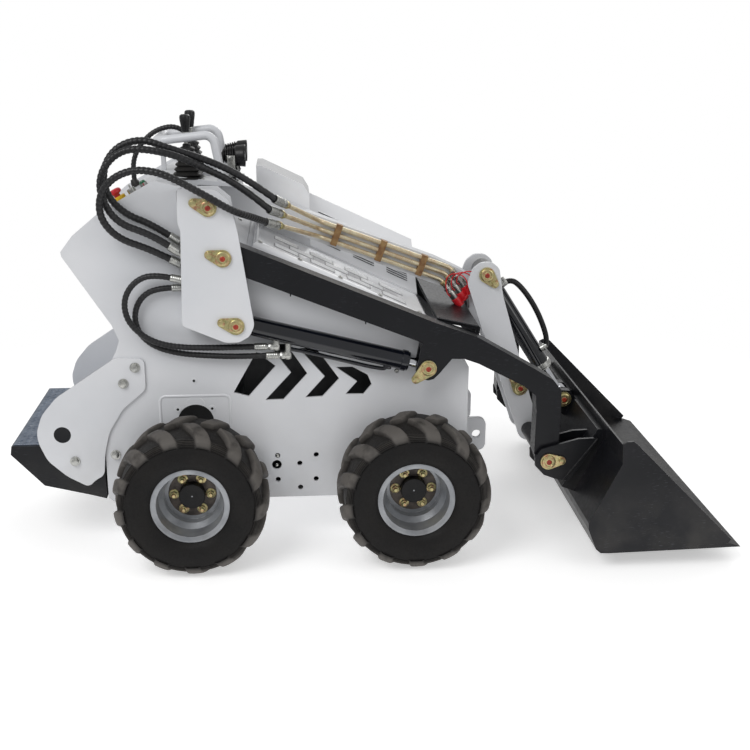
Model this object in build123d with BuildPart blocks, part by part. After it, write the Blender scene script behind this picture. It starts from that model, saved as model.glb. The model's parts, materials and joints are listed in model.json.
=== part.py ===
from build123d import *
import math
import os

os.makedirs("parts", exist_ok=True)

# Stand-on mini skid steer loader. Lengths in mm, X forward, Y to the left, Z up, ground at Z 0.
# Side outlines are drawn from the rear axle (x) and the ground (z) on planes across Y.

REAR_AXLE_X = -539.25
WHEELBASE = 656.0
AXLE_Z = 228.5

TYRE_R = 228.5
TYRE_MID_Y = 436.0
SHAFT_R = 18.0
RUNNING_GAP = 0.05
SEAT_GAP = 0.3

CHASSIS_OUT_Y = 286.0
PLATE_T = 8.0
CHASSIS_IN_Y = CHASSIS_OUT_Y - PLATE_T
ARM_IN_Y = 291.0
ARM_OUT_Y = 351.0
ARM_MID_Y = 321.0
TOWER_IN_Y = 356.0
TOWER_OUT_Y = 366.0

BOOM_PIVOT = (110.0, 920.0)
LINK_PIVOT = (74.0, 1064.0)
LIFT_BASE = (141.0, 721.0)
LIFT_EYE = (705.0, 578.0)
HITCH_PIVOT = (1080.0, 277.0)
LEVER_MID = (1044.0, 421.0)
TILT_EYE = (922.0, 799.0)
TILT_ROD_EYE = (1196.0, 374.0)

PIN_R = 15.0
PIN_HOLE_R = PIN_R + RUNNING_GAP
PIN_SEAT_R = PIN_R + SEAT_GAP
HITCH_TUBE_R = 25.0

BUCKET_HALF_W = 560.0
HOOD_HALF_W = 250.0


def side(y):
    """Side view plane at y: local x forward, local y up, extrudes towards -Y."""
    return Plane(origin=(REAR_AXLE_X, y, 0), x_dir=(1, 0, 0), z_dir=(0, -1, 0))


def cross(x):
    """Cross section plane at x from the rear axle: local x is Y, local y is Z, extrudes forward."""
    return Plane(origin=(REAR_AXLE_X + x, 0, 0), x_dir=(0, 1, 0), z_dir=(1, 0, 0))


def deck(z):
    """Level plane at height z with x from the rear axle."""
    return Plane(origin=(REAR_AXLE_X, 0, z))


def frame_point(x, y, z):
    """A point given from the rear axle, in the shared frame."""
    return (REAR_AXLE_X + x, y, z)


def unit(a, b):
    """Unit vector from a to b in the side view."""
    length = math.hypot(b[0] - a[0], b[1] - a[1])
    return ((b[0] - a[0]) / length, (b[1] - a[1]) / length)


def sheet(points, thickness):
    """Outline of a bent sheet: the points and their offset to the left of the path."""
    shifted = []
    for i, point in enumerate(points):
        before = unit(points[i - 1], point) if i > 0 else unit(point, points[i + 1])
        after = unit(point, points[i + 1]) if i < len(points) - 1 else before
        normal = (-before[1] - after[1], before[0] + after[0])
        scale = thickness / (1 + before[0] * after[0] + before[1] * after[1])
        shifted.append((point[0] + normal[0] * scale, point[1] + normal[1] * scale))
    return points + shifted[::-1]


def plate(outline, y_out, thickness):
    """A plate drawn in the side view, from y_out (positive) inwards, and its twin on the other side."""
    with BuildSketch(side(thickness - y_out)) as face_sketch:
        with BuildLine():
            Polyline(*outline, close=True)
        make_face()
    extrude(face_sketch.sketch, amount=thickness)
    extrude(mirror(face_sketch.sketch, about=Plane.XZ, mode=Mode.PRIVATE), amount=thickness, dir=(0, 1, 0))


def slab(outline, y_low, y_high, mode=Mode.ADD):
    """A prism of a side view outline between two values of Y."""
    with BuildSketch(side(y_high)) as face_sketch:
        with BuildLine():
            Polyline(*outline, close=True)
        make_face()
    extrude(face_sketch.sketch, amount=y_high - y_low, mode=mode)


def disc(centre, radius, y_low, y_high, mode=Mode.ADD):
    """A cylinder across the machine between two values of Y."""
    with BuildSketch(side(y_high)) as face_sketch:
        with Locations(centre):
            Circle(radius)
    extrude(face_sketch.sketch, amount=y_high - y_low, mode=mode)


def disc_pair(centre, radius, y_in, y_out, mode=Mode.ADD):
    """The same cylinder on both sides of the machine."""
    disc(centre, radius, -y_out, -y_in, mode)
    disc(centre, radius, y_in, y_out, mode)


def rod_between(start, end, radius, y):
    """A round bar in the side view between two points at a value of Y."""
    run = math.hypot(end[0] - start[0], end[1] - start[1])
    aim = Plane(origin=frame_point(start[0], y, start[1]), x_dir=(0, 1, 0),
                z_dir=(end[0] - start[0], 0, end[1] - start[1]))
    with BuildSketch(aim) as face_sketch:
        Circle(radius)
    extrude(face_sketch.sketch, amount=run)


def along(start, end, distance):
    """The point at a distance from start towards end."""
    step = unit(start, end)
    return (start[0] + step[0] * distance, start[1] + step[1] * distance)


def keeper_outline(pin, bolt, pin_r, bolt_r):
    """Teardrop plate around a pin and its bolt, as one outline of tangents and arcs."""
    run = math.hypot(bolt[0] - pin[0], bolt[1] - pin[1])
    lean = math.acos((pin_r - bolt_r) / run)
    base = math.atan2(bolt[1] - pin[1], bolt[0] - pin[0])
    points = []
    for centre, radius, turn in ((pin, pin_r, lean), (bolt, bolt_r, lean),
                                 (bolt, bolt_r, -lean), (pin, pin_r, -lean)):
        angle = base + turn
        points.append((centre[0] + radius * math.cos(angle), centre[1] + radius * math.sin(angle)))
    far_pin = (pin[0] - pin_r * math.cos(base), pin[1] - pin_r * math.sin(base))
    far_bolt = (bolt[0] + bolt_r * math.cos(base), bolt[1] + bolt_r * math.sin(base))
    Line(points[0], points[1])
    ThreePointArc(points[1], far_bolt, points[2])
    Line(points[2], points[3])
    ThreePointArc(points[3], far_pin, points[0])


def keeper(pin, bolt, y_face, sign):
    """Keeper plate with its bolt head on a face at y_face, outwards along sign."""
    low = y_face if sign > 0 else y_face - KEEPER_T
    with BuildSketch(side(low + KEEPER_T)) as face_sketch:
        with BuildLine():
            keeper_outline(pin, bolt, KEEPER_PIN_R, KEEPER_BOLT_R)
        make_face()
    extrude(face_sketch.sketch, amount=KEEPER_T)
    head = low + KEEPER_T if sign > 0 else low - BOLT_HEAD_T
    disc(bolt, BOLT_HEAD_R, head, head + BOLT_HEAD_T)
    collar = low + KEEPER_T if sign > 0 else low - COLLAR_T
    disc(pin, COLLAR_R, collar, collar + COLLAR_T)


KEEPER_T = 6.0
KEEPER_PIN_R = 25.0
KEEPER_BOLT_R = 13.0
BOLT_HEAD_R = 9.0
BOLT_HEAD_T = 6.0
COLLAR_R = 20.0
COLLAR_T = 4.0


# Wheels

TYRE_SECTION = [(-81.4, 103.3), (-83.4, 114), (-90, 114), (-104, 128), (-108, 150), (-106, 182), (-98, 204),
                (-60, 214), (60, 214), (98, 204), (106, 182), (108, 150), (104, 128), (90, 114),
                (83.4, 114), (81.4, 103.3)]
RIM_OUTSIDE = [(-89, 113.6), (-84, 113.6), (-82, 103), (-58, 100), (-42, 87), (18, 87), (34, 100),
               (82, 103), (84, 113.6), (89, 113.6)]
RIM_INSIDE = [(89, 109), (85, 98), (36, 95.5), (20, 82), (-44, 82), (-60, 95.5), (-85, 98), (-89, 109)]
HUB_STEPS = [(-14, -8, 86.0), (-24, -14, 60.0), (-8, 4, 37.0), (4, 16, 30.0)]
HUB_NUT_PCD_R = 54.0
HUB_NUT_R = 10.0
SHAFT_END_Y = 244.0
WHEELS = [("rear_right", 0.0, -1), ("rear_left", 0.0, 1),
          ("front_right", WHEELBASE, -1), ("front_left", WHEELBASE, 1)]


def wheel_plane(x, sign, out):
    """Plane across the axle, out measured from the middle of the tyre away from the machine."""
    return Plane(origin=frame_point(x, sign * (TYRE_MID_Y + out), AXLE_Z), x_dir=(1, 0, 0),
                 z_dir=(0, sign, 0))


def wheel_section(x, sign):
    """Plane through the axle: local x runs out from the middle of the tyre, local y is the radius."""
    return Plane(origin=frame_point(x, sign * TYRE_MID_Y, AXLE_Z), x_dir=(0, sign, 0), z_dir=(sign, 0, 0))


for place, wheel_x, sign in WHEELS:
    axle = Axis(frame_point(wheel_x, 0, AXLE_Z), (0, 1, 0))
    with BuildPart() as tyre:
        with BuildSketch(wheel_section(wheel_x, sign)):
            with BuildLine():
                Polyline(*TYRE_SECTION, close=True)
            make_face()
        revolve(axis=axle)
        with BuildSketch(wheel_plane(wheel_x, sign, -60)):
            Circle(TYRE_R)
            Circle(210, mode=Mode.SUBTRACT)
        extrude(amount=120)
    tyre.part.label = "tyre_" + place
    export_step(tyre.part, "parts/tyre_" + place + ".step")

    with BuildPart() as rim:
        with BuildSketch(wheel_section(wheel_x, sign)):
            with BuildLine():
                Polyline(*RIM_OUTSIDE, *RIM_INSIDE, close=True)
            make_face()
        revolve(axis=axle)
        for low, high, radius in HUB_STEPS:
            with BuildSketch(wheel_plane(wheel_x, sign, low)):
                Circle(radius)
            extrude(amount=high - low)
        with BuildSketch(wheel_plane(wheel_x, sign, -8)):
            with PolarLocations(HUB_NUT_PCD_R, 6):
                RegularPolygon(HUB_NUT_R, 6)
        extrude(amount=9)
        with BuildSketch(wheel_plane(wheel_x, sign, SHAFT_END_Y - TYRE_MID_Y)):
            Circle(SHAFT_R)
        extrude(amount=TYRE_MID_Y - SHAFT_END_Y - 20)
    rim.part.label = "rim_" + place
    export_step(rim.part, "parts/rim_" + place + ".step")

MOTOR_R = 58.0
MOTOR_FLANGE_R = 74.0
MOTOR_IN_Y = 205.0
MOTOR_NOSE_Y = 320.0
MOTOR_BORE_START_Y = 240.0
with BuildPart() as wheel_motors:
    for wheel_x in (0.0, WHEELBASE):
        centre = (wheel_x, AXLE_Z)
        disc_pair(centre, MOTOR_R, MOTOR_IN_Y, MOTOR_NOSE_Y)
        disc_pair(centre, MOTOR_FLANGE_R, CHASSIS_OUT_Y, CHASSIS_OUT_Y + 12)
    for wheel_x in (0.0, WHEELBASE):
        centre = (wheel_x, AXLE_Z)
        disc_pair(centre, SHAFT_R + RUNNING_GAP, MOTOR_BORE_START_Y, MOTOR_NOSE_Y + 1, Mode.SUBTRACT)
wheel_motors.part.label = "wheel_motors"
export_step(wheel_motors.part, "parts/wheel_motors.step")


# Chassis

DECK_START = (160.0, 934.0)
DECK_END = (722.0, 672.0)
DECK_T = 8.0
SIDE_OUTLINE = [(838, 148), (838, 560), (780, 622), (735, 664), DECK_END, DECK_START, (134, 1082), (99, 1113),
                (-17, 1114), (-81, 1130), (-235.5, 1044.5), (-321, 974), (-357, 928), (-355, 914),
                (-226, 708), (-207, 661), (-220, 626), (-255, 560), (-270, 500), (-270, 160), (-258, 148)]
CHEVRONS = [
    [(123, 493), (168, 480), (251, 575), (195, 620)],
    [(218, 467), (273, 468), (346, 549), (284, 643), (232, 643), (297, 553)],
    [(339, 473), (391, 475), (442, 531), (373, 629), (322, 629), (398, 539)],
    [(461, 481), (516, 480), (541, 511), (528, 542), (482, 568), (432, 568), (496, 521)],
]
SIDE_HOLES = [(251, 286, 8), (248, 256, 15), (251, 207, 8), (319, 259, 8), (320, 179, 8), (370, 286, 8),
              (369, 206, 8), (57, 444, 9), (-46, 443, 9), (6, 533, 7), (617, 553, 7), (7, 453, 26)]
FLOOR = [(838, 148), (838, 156), (-262, 156), (-262, 148)]
FRONT_SHEET = [(838, 152), (838, 560), (780, 622), (735, 664), (722, 672)]
REAR_SHEET = [(-262, 156), (-262, 500), (-246, 560), (-212, 624)]
TIE_DOWN = (866.0, 238.0, 920.0, 349.0)
TOWER_STUB_HOLES = [LINK_PIVOT, BOOM_PIVOT, LIFT_BASE]
with BuildPart() as chassis_frame:
    plate(SIDE_OUTLINE, CHASSIS_OUT_Y, PLATE_T)
    slab(FLOOR, -CHASSIS_IN_Y, CHASSIS_IN_Y)
    slab(sheet(FRONT_SHEET, PLATE_T), -CHASSIS_IN_Y, CHASSIS_IN_Y)
    slab(sheet(REAR_SHEET[::-1], PLATE_T), -CHASSIS_IN_Y, CHASSIS_IN_Y)
    slab(sheet([DECK_START, DECK_END], -DECK_T), -CHASSIS_IN_Y, CHASSIS_IN_Y)
    for chevron in CHEVRONS:
        slab(chevron, -CHASSIS_OUT_Y - 1, -CHASSIS_IN_Y + 1, Mode.SUBTRACT)
        slab(chevron, CHASSIS_IN_Y - 1, CHASSIS_OUT_Y + 1, Mode.SUBTRACT)
    for hole_x, hole_z, hole_r in SIDE_HOLES:
        disc_pair((hole_x, hole_z), hole_r, CHASSIS_IN_Y - 1, CHASSIS_OUT_Y + 1, Mode.SUBTRACT)
    for centre in TOWER_STUB_HOLES:
        disc_pair(centre, PIN_SEAT_R, CHASSIS_IN_Y - 1, CHASSIS_OUT_Y + 1, Mode.SUBTRACT)
    for wheel_x in (0.0, WHEELBASE):
        disc_pair((wheel_x, AXLE_Z), MOTOR_R + SEAT_GAP, CHASSIS_IN_Y - 1, CHASSIS_OUT_Y + 1, Mode.SUBTRACT)
    for y_mid in (-150.0, 150.0):
        slab([(838, TIE_DOWN[1]), (TIE_DOWN[2], TIE_DOWN[1]), (TIE_DOWN[2], TIE_DOWN[3]),
              (838, TIE_DOWN[3])], y_mid - 8, y_mid + 8)
        fillet([e for e in edges().filter_by(Axis.Y)
                if e.center().X > REAR_AXLE_X + 915 and abs(e.center().Y - y_mid) < 10], 24)
        disc((890, 294), 14, y_mid - 9, y_mid + 9, Mode.SUBTRACT)
chassis_frame.part.label = "chassis_frame"
export_step(chassis_frame.part, "parts/chassis_frame.step")

TOWER_OUTLINE = [(-10, 1118), (-12, 1019), (-5, 1002), (-13, 724), (110, 671), (150, 672), (180, 690),
                 (194, 722), (190, 750), (154, 998), (134, 1082), (99, 1113)]
TOWER_WEBS = [[(-12, 1019), (-12, 1110), (-4, 1110), (-4, 1005)],
              [(-13, 724), (-10, 820), (-2, 820), (-5, 722)]]
with BuildPart() as arm_towers:
    plate(TOWER_OUTLINE, TOWER_OUT_Y, TOWER_OUT_Y - TOWER_IN_Y)
    for web in TOWER_WEBS:
        slab(web, -TOWER_IN_Y, -CHASSIS_OUT_Y)
        slab(web, CHASSIS_OUT_Y, TOWER_IN_Y)
    for centre in TOWER_STUB_HOLES:
        disc_pair(centre, PIN_SEAT_R, TOWER_IN_Y - 1, TOWER_OUT_Y + 1, Mode.SUBTRACT)
arm_towers.part.label = "arm_towers"
export_step(arm_towers.part, "parts/arm_towers.step")

TOWER_PINS = [(LINK_PIVOT, (34, 1078), 236.0), (BOOM_PIVOT, (72, 931), CHASSIS_IN_Y - 8),
              (LIFT_BASE, (101, 732), CHASSIS_IN_Y - 8)]
with BuildPart() as tower_pins:
    for centre, bolt, y_in in TOWER_PINS:
        disc_pair(centre, PIN_R, y_in, TOWER_OUT_Y)
        keeper(centre, bolt, TOWER_OUT_Y, 1)
        keeper(centre, bolt, -TOWER_OUT_Y, -1)
tower_pins.part.label = "tower_pins"
export_step(tower_pins.part, "parts/tower_pins.step")

REAR_PLATE_OUT_Y = 294.0
REAR_PLATE = [(-221, 610), (-137, 606), (-137, 510), (-209, 449), (-253, 377), (-270, 309), (-277, 237),
              (-303, 225), (-325, 201), (-388, 237), (-442, 289), (-465, 345), (-468, 382), (-449, 436),
              (-403, 489), (-350, 524)]
REAR_PLATE_HOLE = (-393, 372)
REAR_PLATE_BOLTS = [(-202, 531, REAR_PLATE_OUT_Y), (-361, 287, REAR_PLATE_OUT_Y), (-165, 580, REAR_PLATE_OUT_Y),
                    (-240, 302, CHASSIS_OUT_Y)]
with BuildPart() as rear_side_plates:
    plate(REAR_PLATE, REAR_PLATE_OUT_Y, REAR_PLATE_OUT_Y - CHASSIS_OUT_Y)
    for bolt_x, bolt_z, bolt_y in REAR_PLATE_BOLTS:
        disc_pair((bolt_x, bolt_z), 13, bolt_y, bolt_y + 3)
        disc_pair((bolt_x, bolt_z), 9, bolt_y + 3, bolt_y + 11)
    disc_pair(REAR_PLATE_HOLE, 24, CHASSIS_OUT_Y - 1, REAR_PLATE_OUT_Y + 1, Mode.SUBTRACT)
rear_side_plates.part.label = "rear_side_plates"
export_step(rear_side_plates.part, "parts/rear_side_plates.step")

PLATFORM_SHELL = [(-276, 158), (-325, 172), (-460, 206), (-553, 309), (-549, 335), (-276, 335)]
PLATFORM_OUT_Y = 285.7
with BuildPart() as platform:
    slab(sheet(PLATFORM_SHELL, -6), -PLATFORM_OUT_Y, PLATFORM_OUT_Y)
    plate(PLATFORM_SHELL, PLATFORM_OUT_Y, 6)
platform.part.label = "platform"
export_step(platform.part, "parts/platform.step")

with BuildPart() as tread_plate:
    slab([(-545, 335), (-280, 335), (-280, 338.5), (-545, 338.5)], -276, 276)
tread_plate.part.label = "tread_plate"
export_step(tread_plate.part, "parts/tread_plate.step")

COWL_PATH = [(-212, 628), (-200, 661), (-220, 704), (-349, 912), (-350, 926), (-317, 969), (-232, 1038),
             (-79, 1122), (-17, 1107)]
with BuildPart() as rear_cowl:
    slab(sheet(COWL_PATH, -5), -CHASSIS_IN_Y + SEAT_GAP, CHASSIS_IN_Y - SEAT_GAP)
rear_cowl.part.label = "rear_cowl"
export_step(rear_cowl.part, "parts/rear_cowl.step")


def deck_z(x):
    """Height of the top of the sloped deck sheet."""
    return DECK_START[1] + (DECK_END[1] - DECK_START[1]) * (x - DECK_START[0]) / (DECK_END[0] - DECK_START[0])


HOOD_X = (190.0, 716.0)
HOOD_T = 34.0
LOUVRE_X = [(250, 330), (350, 430), (450, 530), (550, 630)]
with BuildPart() as deck_hood:
    slab([(HOOD_X[0], deck_z(HOOD_X[0])), (HOOD_X[1], deck_z(HOOD_X[1])),
          (HOOD_X[1], deck_z(HOOD_X[1]) + HOOD_T), (HOOD_X[0], deck_z(HOOD_X[0]) + HOOD_T)],
         -HOOD_HALF_W, HOOD_HALF_W)
    hood_edges = edges().filter_by(lambda e: e.center().Z > deck_z(e.center().X - REAR_AXLE_X) + HOOD_T - 4)
    fillet(hood_edges, 16)
deck_hood.part.label = "deck_hood"
export_step(deck_hood.part, "parts/deck_hood.step")

COVER_IN_Y = 45.0
COVER_OUT_Y = 245.0
COVER_X = (366.0, 714.0)
COVER_RISE = 148.0
with BuildPart() as raised_cover:
    for cover_x in COVER_X:
        base = deck_z(cover_x) + HOOD_T
        with BuildSketch(cross(cover_x)):
            with BuildLine():
                Polyline((COVER_IN_Y, base), (COVER_OUT_Y, base), (COVER_OUT_Y, base + COVER_RISE),
                         (COVER_IN_Y, base + 6), close=True)
            make_face()
    loft()
raised_cover.part.label = "raised_cover"
export_step(raised_cover.part, "parts/raised_cover.step")

AIR_BOX = [(200, deck_z(200) + HOOD_T), (366, deck_z(366) + HOOD_T), (366, 1040), (348, 1070), (217, 1132),
           (200, 1132)]
with BuildPart() as air_box:
    slab(AIR_BOX, COVER_IN_Y, COVER_OUT_Y)
air_box.part.label = "air_box"
export_step(air_box.part, "parts/air_box.step")

CONSOLE_HALF_W = 130.0
CONSOLE_SLOT_HALF_W = 38.0
CONSOLE_BODY = [(-90, 1128), (-90, 1117), (-79, 1122), (-17, 1107), (-4, 1104), (-4, 1040), (28, 1040),
                (28, 1114)]
CONSOLE_SHELF = [(28, 1096), (28, 1114), (160, 1097), (160, 1089), (40, 1096)]
with BuildPart() as control_console:
    slab(CONSOLE_BODY, -CONSOLE_HALF_W, CONSOLE_HALF_W)
    for sign in (-1, 1):
        low, high = sorted((sign * CONSOLE_SLOT_HALF_W, sign * CONSOLE_HALF_W))
        slab(CONSOLE_SHELF, low, high)
control_console.part.label = "control_console"
export_step(control_console.part, "parts/control_console.step")

BAR_Y = 112.0
BAR_R = 13.0
with BuildPart() as handlebar:
    for sign in (-1, 1):
        with BuildLine() as bar_path:
            FilletPolyline(frame_point(105, sign * BAR_Y, 1098), frame_point(79, sign * BAR_Y, 1243),
                           frame_point(-88, sign * BAR_Y, 1224), frame_point(-88, 0, 1224), radius=30)
        with BuildSketch(Plane(origin=bar_path.line @ 0, z_dir=bar_path.line % 0)):
            Circle(BAR_R)
        sweep()
    with Locations(frame_point(-81, 0, 1171)):
        Box(14, 14, 94)
    slab(CONSOLE_BODY, -CONSOLE_HALF_W, CONSOLE_HALF_W, Mode.SUBTRACT)
    slab(CONSOLE_SHELF, -CONSOLE_HALF_W - BAR_R, CONSOLE_HALF_W + BAR_R, Mode.SUBTRACT)
handlebar.part.label = "handlebar"
export_step(handlebar.part, "parts/handlebar.step")

LEVER_Y = 87.0
BOOT_STEPS = [(1113.5, 1134, 40), (1134, 1150, 36), (1150, 1166, 31), (1166, 1182, 25), (1182, 1212, 17)]
with BuildPart() as lever_boots:
    for low, high, radius in BOOT_STEPS:
        with BuildSketch(deck(low)):
            with Locations((-1, -LEVER_Y), (-1, LEVER_Y)):
                Rectangle(2 * radius, 2 * radius)
        extrude(amount=high - low)
    slab(CONSOLE_BODY, -CONSOLE_HALF_W, CONSOLE_HALF_W, Mode.SUBTRACT)
    slab(CONSOLE_SHELF, -CONSOLE_HALF_W, CONSOLE_HALF_W, Mode.SUBTRACT)
lever_boots.part.label = "lever_boots"
export_step(lever_boots.part, "parts/lever_boots.step")

LEVER_STEPS = [(1212, 1250, 6), (1250, 1262, 13), (1262, 1300, 17)]
with BuildPart() as drive_levers:
    for low, high, radius in LEVER_STEPS:
        with BuildSketch(deck(low)):
            with Locations((-3, -LEVER_Y), (-3, LEVER_Y)):
                Circle(radius)
        extrude(amount=high - low)
drive_levers.part.label = "drive_levers"
export_step(drive_levers.part, "parts/drive_levers.step")

LAMP_Y = 74.0
LAMP_Z = 1176.0
LAMP_STEPS = [(100, 116, 22), (116, 140, 29), (140, 172, 33)]
with BuildPart() as work_lamps:
    for low, high, radius in LAMP_STEPS:
        with BuildSketch(cross(low)):
            with Locations((-LAMP_Y, LAMP_Z), (LAMP_Y, LAMP_Z)):
                Circle(radius)
        extrude(amount=high - low)
    with BuildSketch(deck(1092)):
        with Locations((134, -LAMP_Y), (134, LAMP_Y)):
            Rectangle(18, 26)
    extrude(amount=60)
    slab(CONSOLE_SHELF, -CONSOLE_HALF_W, CONSOLE_HALF_W, Mode.SUBTRACT)
work_lamps.part.label = "work_lamps"
export_step(work_lamps.part, "parts/work_lamps.step")

with BuildPart() as engine_block:
    slab([(150, 156), (640, 156), (640, 560), (150, 600)], -170, 170)
engine_block.part.label = "engine_block"
export_step(engine_block.part, "parts/engine_block.step")


# Loader arms

ARM_OUTLINE = [(110, 963), (160, 951), (726, 717), (849, 673), (1029, 569), (1086, 534), (1113, 500),
               (1115, 431), (1113, 335), (1115, 277), (1105, 252), (1080, 242), (1055, 252), (1045, 277),
               (1038, 300), (1039, 433), (1035, 485), (995, 517), (857, 589), (813, 605), (776, 606),
               (738, 560), (722, 544), (705, 540), (684, 546), (668, 570), (676, 604), (686, 657),
               (176, 859), (110, 877)]
CLEVIS_CUT = [(640, 540), (660, 640), (730, 628), (760, 590), (745, 530)]
CLEVIS_HALF_GAP = 21.0
CROSS_PLATE = [(856, 626), (866, 688), (738, 717)]
with BuildPart() as boom_frame:
    plate(ARM_OUTLINE, ARM_OUT_Y, ARM_OUT_Y - ARM_IN_Y)
    disc_pair(BOOM_PIVOT, 43, ARM_IN_Y, ARM_OUT_Y)
    for y_mid in (-ARM_MID_Y, ARM_MID_Y):
        slab(CLEVIS_CUT, y_mid - CLEVIS_HALF_GAP, y_mid + CLEVIS_HALF_GAP, Mode.SUBTRACT)
    slab(sheet(CROSS_PLATE, 10), -ARM_IN_Y, ARM_IN_Y)
    disc(HITCH_PIVOT, HITCH_TUBE_R, -ARM_IN_Y, ARM_IN_Y)
    disc_pair(BOOM_PIVOT, PIN_HOLE_R, ARM_IN_Y - 1, ARM_OUT_Y + 1, Mode.SUBTRACT)
    disc_pair(HITCH_PIVOT, PIN_HOLE_R, ARM_IN_Y + 6, ARM_OUT_Y + 1, Mode.SUBTRACT)
    disc_pair(LIFT_EYE, PIN_SEAT_R, ARM_IN_Y - 1, ARM_OUT_Y + 1, Mode.SUBTRACT)
boom_frame.part.label = "boom_frame"
export_step(boom_frame.part, "parts/boom_frame.step")

OPEN_PIN_GAP = 1.0
with BuildPart() as boom_pins:
    disc_pair(LIFT_EYE, PIN_R, ARM_IN_Y, ARM_MID_Y - CLEVIS_HALF_GAP)
    disc_pair(LIFT_EYE, PIN_R, ARM_MID_Y + CLEVIS_HALF_GAP, ARM_OUT_Y)
    keeper(LIFT_EYE, (668, 545), ARM_OUT_Y, 1)
    keeper(LIFT_EYE, (668, 545), -ARM_OUT_Y, -1)
boom_pins.part.label = "boom_pins"
export_step(boom_pins.part, "parts/boom_pins.step")


# Levelling link

LINK_HALF_W = 27.0
LINK_TUBE_R = 22.0
LINK_TUBE_Y = 272.0
LINK_BEAM = [(74, 1108), (110, 1096), (359, 996), (760, 848), (832, 814), (868, 795), (880, 762),
             (1066, 440), (1074, 415), (1060, 394), (1036, 390), (1010, 404), (985, 450), (878, 672),
             (872, 735), (762, 762), (385, 904), (110, 1014), (74, 1020)]
with BuildPart() as levelling_link:
    slab(LINK_BEAM, -LINK_HALF_W, LINK_HALF_W)
    disc(LINK_PIVOT, 44, -LINK_HALF_W, LINK_HALF_W)
    disc(LINK_PIVOT, LINK_TUBE_R, -LINK_TUBE_Y, LINK_TUBE_Y)
    disc_pair(LINK_PIVOT, PIN_HOLE_R, 230, LINK_TUBE_Y + 1, Mode.SUBTRACT)
    disc(LEVER_MID, PIN_HOLE_R, -LINK_HALF_W - 1, LINK_HALF_W + 1, Mode.SUBTRACT)
levelling_link.part.label = "levelling_link"
export_step(levelling_link.part, "parts/levelling_link.step")

LINK_TOP = ((359.0, 996.0), (760.0, 848.0))
LINK_RUN = unit(*LINK_TOP)
PIPE_R = 7.0
PIPE_OUT = 13.0
PIPE_Y = -(LINK_HALF_W + PIPE_OUT)
PIPE_BEND = (815.0, 827.7)
PIPE_BEND_STEP = (-0.611, -0.842)
PIPE_TAIL = (0.62, -0.785)
PIPE_TAIL_LENGTH = 35.0
COUPLER_LENGTH = 42.0
PIPES = [(12.0, (262, -230, 1066)), (35.0, (246, -230, 1035)), (58.0, (236, -230, 999))]


def link_point(x, depth):
    """Point beside the beam at x, at a depth below its top edge."""
    return (x, LINK_TOP[0][1] + LINK_RUN[1] / LINK_RUN[0] * (x - LINK_TOP[0][0]) - depth / LINK_RUN[0])


def pipe_bend(depth):
    """Where the pipe at this depth turns down to its coupler."""
    return (PIPE_BEND[0] + PIPE_BEND_STEP[0] * depth, PIPE_BEND[1] + PIPE_BEND_STEP[1] * depth)


def past(point, distance):
    """The point moved along the pipe tails."""
    return (point[0] + PIPE_TAIL[0] * distance, point[1] + PIPE_TAIL[1] * distance)


with BuildPart() as hydraulic_pipes:
    for depth, hose_end in PIPES:
        start = link_point(395, depth)
        bend = pipe_bend(depth)
        end = past(bend, PIPE_TAIL_LENGTH)
        with BuildLine() as pipe_path:
            FilletPolyline(frame_point(*hose_end), frame_point(start[0], PIPE_Y, start[1]),
                           frame_point(bend[0], PIPE_Y, bend[1]), frame_point(end[0], PIPE_Y, end[1]),
                           radius=40)
        with BuildSketch(Plane(origin=pipe_path.line @ 0, z_dir=pipe_path.line % 0)):
            Circle(PIPE_R)
        sweep()
hydraulic_pipes.part.label = "hydraulic_pipes"
export_step(hydraulic_pipes.part, "parts/hydraulic_pipes.step")

CLAMP_X = [450.0, 590.0, 720.0]
CLAMP_LENGTH = 20.0
with BuildPart() as pipe_clamps:
    for clamp_x in CLAMP_X:
        top = link_point(clamp_x, 0)
        with BuildSketch(Plane(origin=frame_point(top[0], -LINK_HALF_W, top[1]), x_dir=(0, -1, 0),
                               z_dir=(LINK_RUN[0], 0, LINK_RUN[1]))):
            with Locations((11, 35)):
                Rectangle(22, 68)
            with Locations((PIPE_OUT, 12), (PIPE_OUT, 35), (PIPE_OUT, 58)):
                Circle(PIPE_R + 0.1, mode=Mode.SUBTRACT)
        extrude(amount=CLAMP_LENGTH)
pipe_clamps.part.label = "pipe_clamps"
export_step(pipe_clamps.part, "parts/pipe_clamps.step")

with BuildPart() as quick_couplers:
    for depth, hose_end in PIPES:
        start = past(pipe_bend(depth), PIPE_TAIL_LENGTH)
        rod_between(start, past(start, COUPLER_LENGTH), 12.0, PIPE_Y)
quick_couplers.part.label = "quick_couplers"
export_step(quick_couplers.part, "parts/quick_couplers.step")


# Lever

LEVER_OUT_Y = 75.0
LEVER_T = 12.0
LEVER_OUTLINE = [(860, 775), (876, 819), (903, 840), (936, 840), (962, 820), (977, 730), (1038, 528),
                 (1083, 379), (1118, 295), (1115, 255), (1095, 238), (1066, 238), (1046, 255), (1041, 275),
                 (978, 451), (909, 630)]
with BuildPart() as lever_plates:
    plate(LEVER_OUTLINE, LEVER_OUT_Y, LEVER_T)
    disc_pair(HITCH_PIVOT, HITCH_TUBE_R + RUNNING_GAP, LEVER_OUT_Y - LEVER_T - 1, LEVER_OUT_Y + 1,
              Mode.SUBTRACT)
    disc_pair(LEVER_MID, PIN_SEAT_R, LEVER_OUT_Y - LEVER_T - 1, LEVER_OUT_Y + 1, Mode.SUBTRACT)
    disc_pair(TILT_EYE, PIN_SEAT_R, LEVER_OUT_Y - LEVER_T - 1, LEVER_OUT_Y + 1, Mode.SUBTRACT)
lever_plates.part.label = "lever_plates"
export_step(lever_plates.part, "parts/lever_plates.step")

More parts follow.
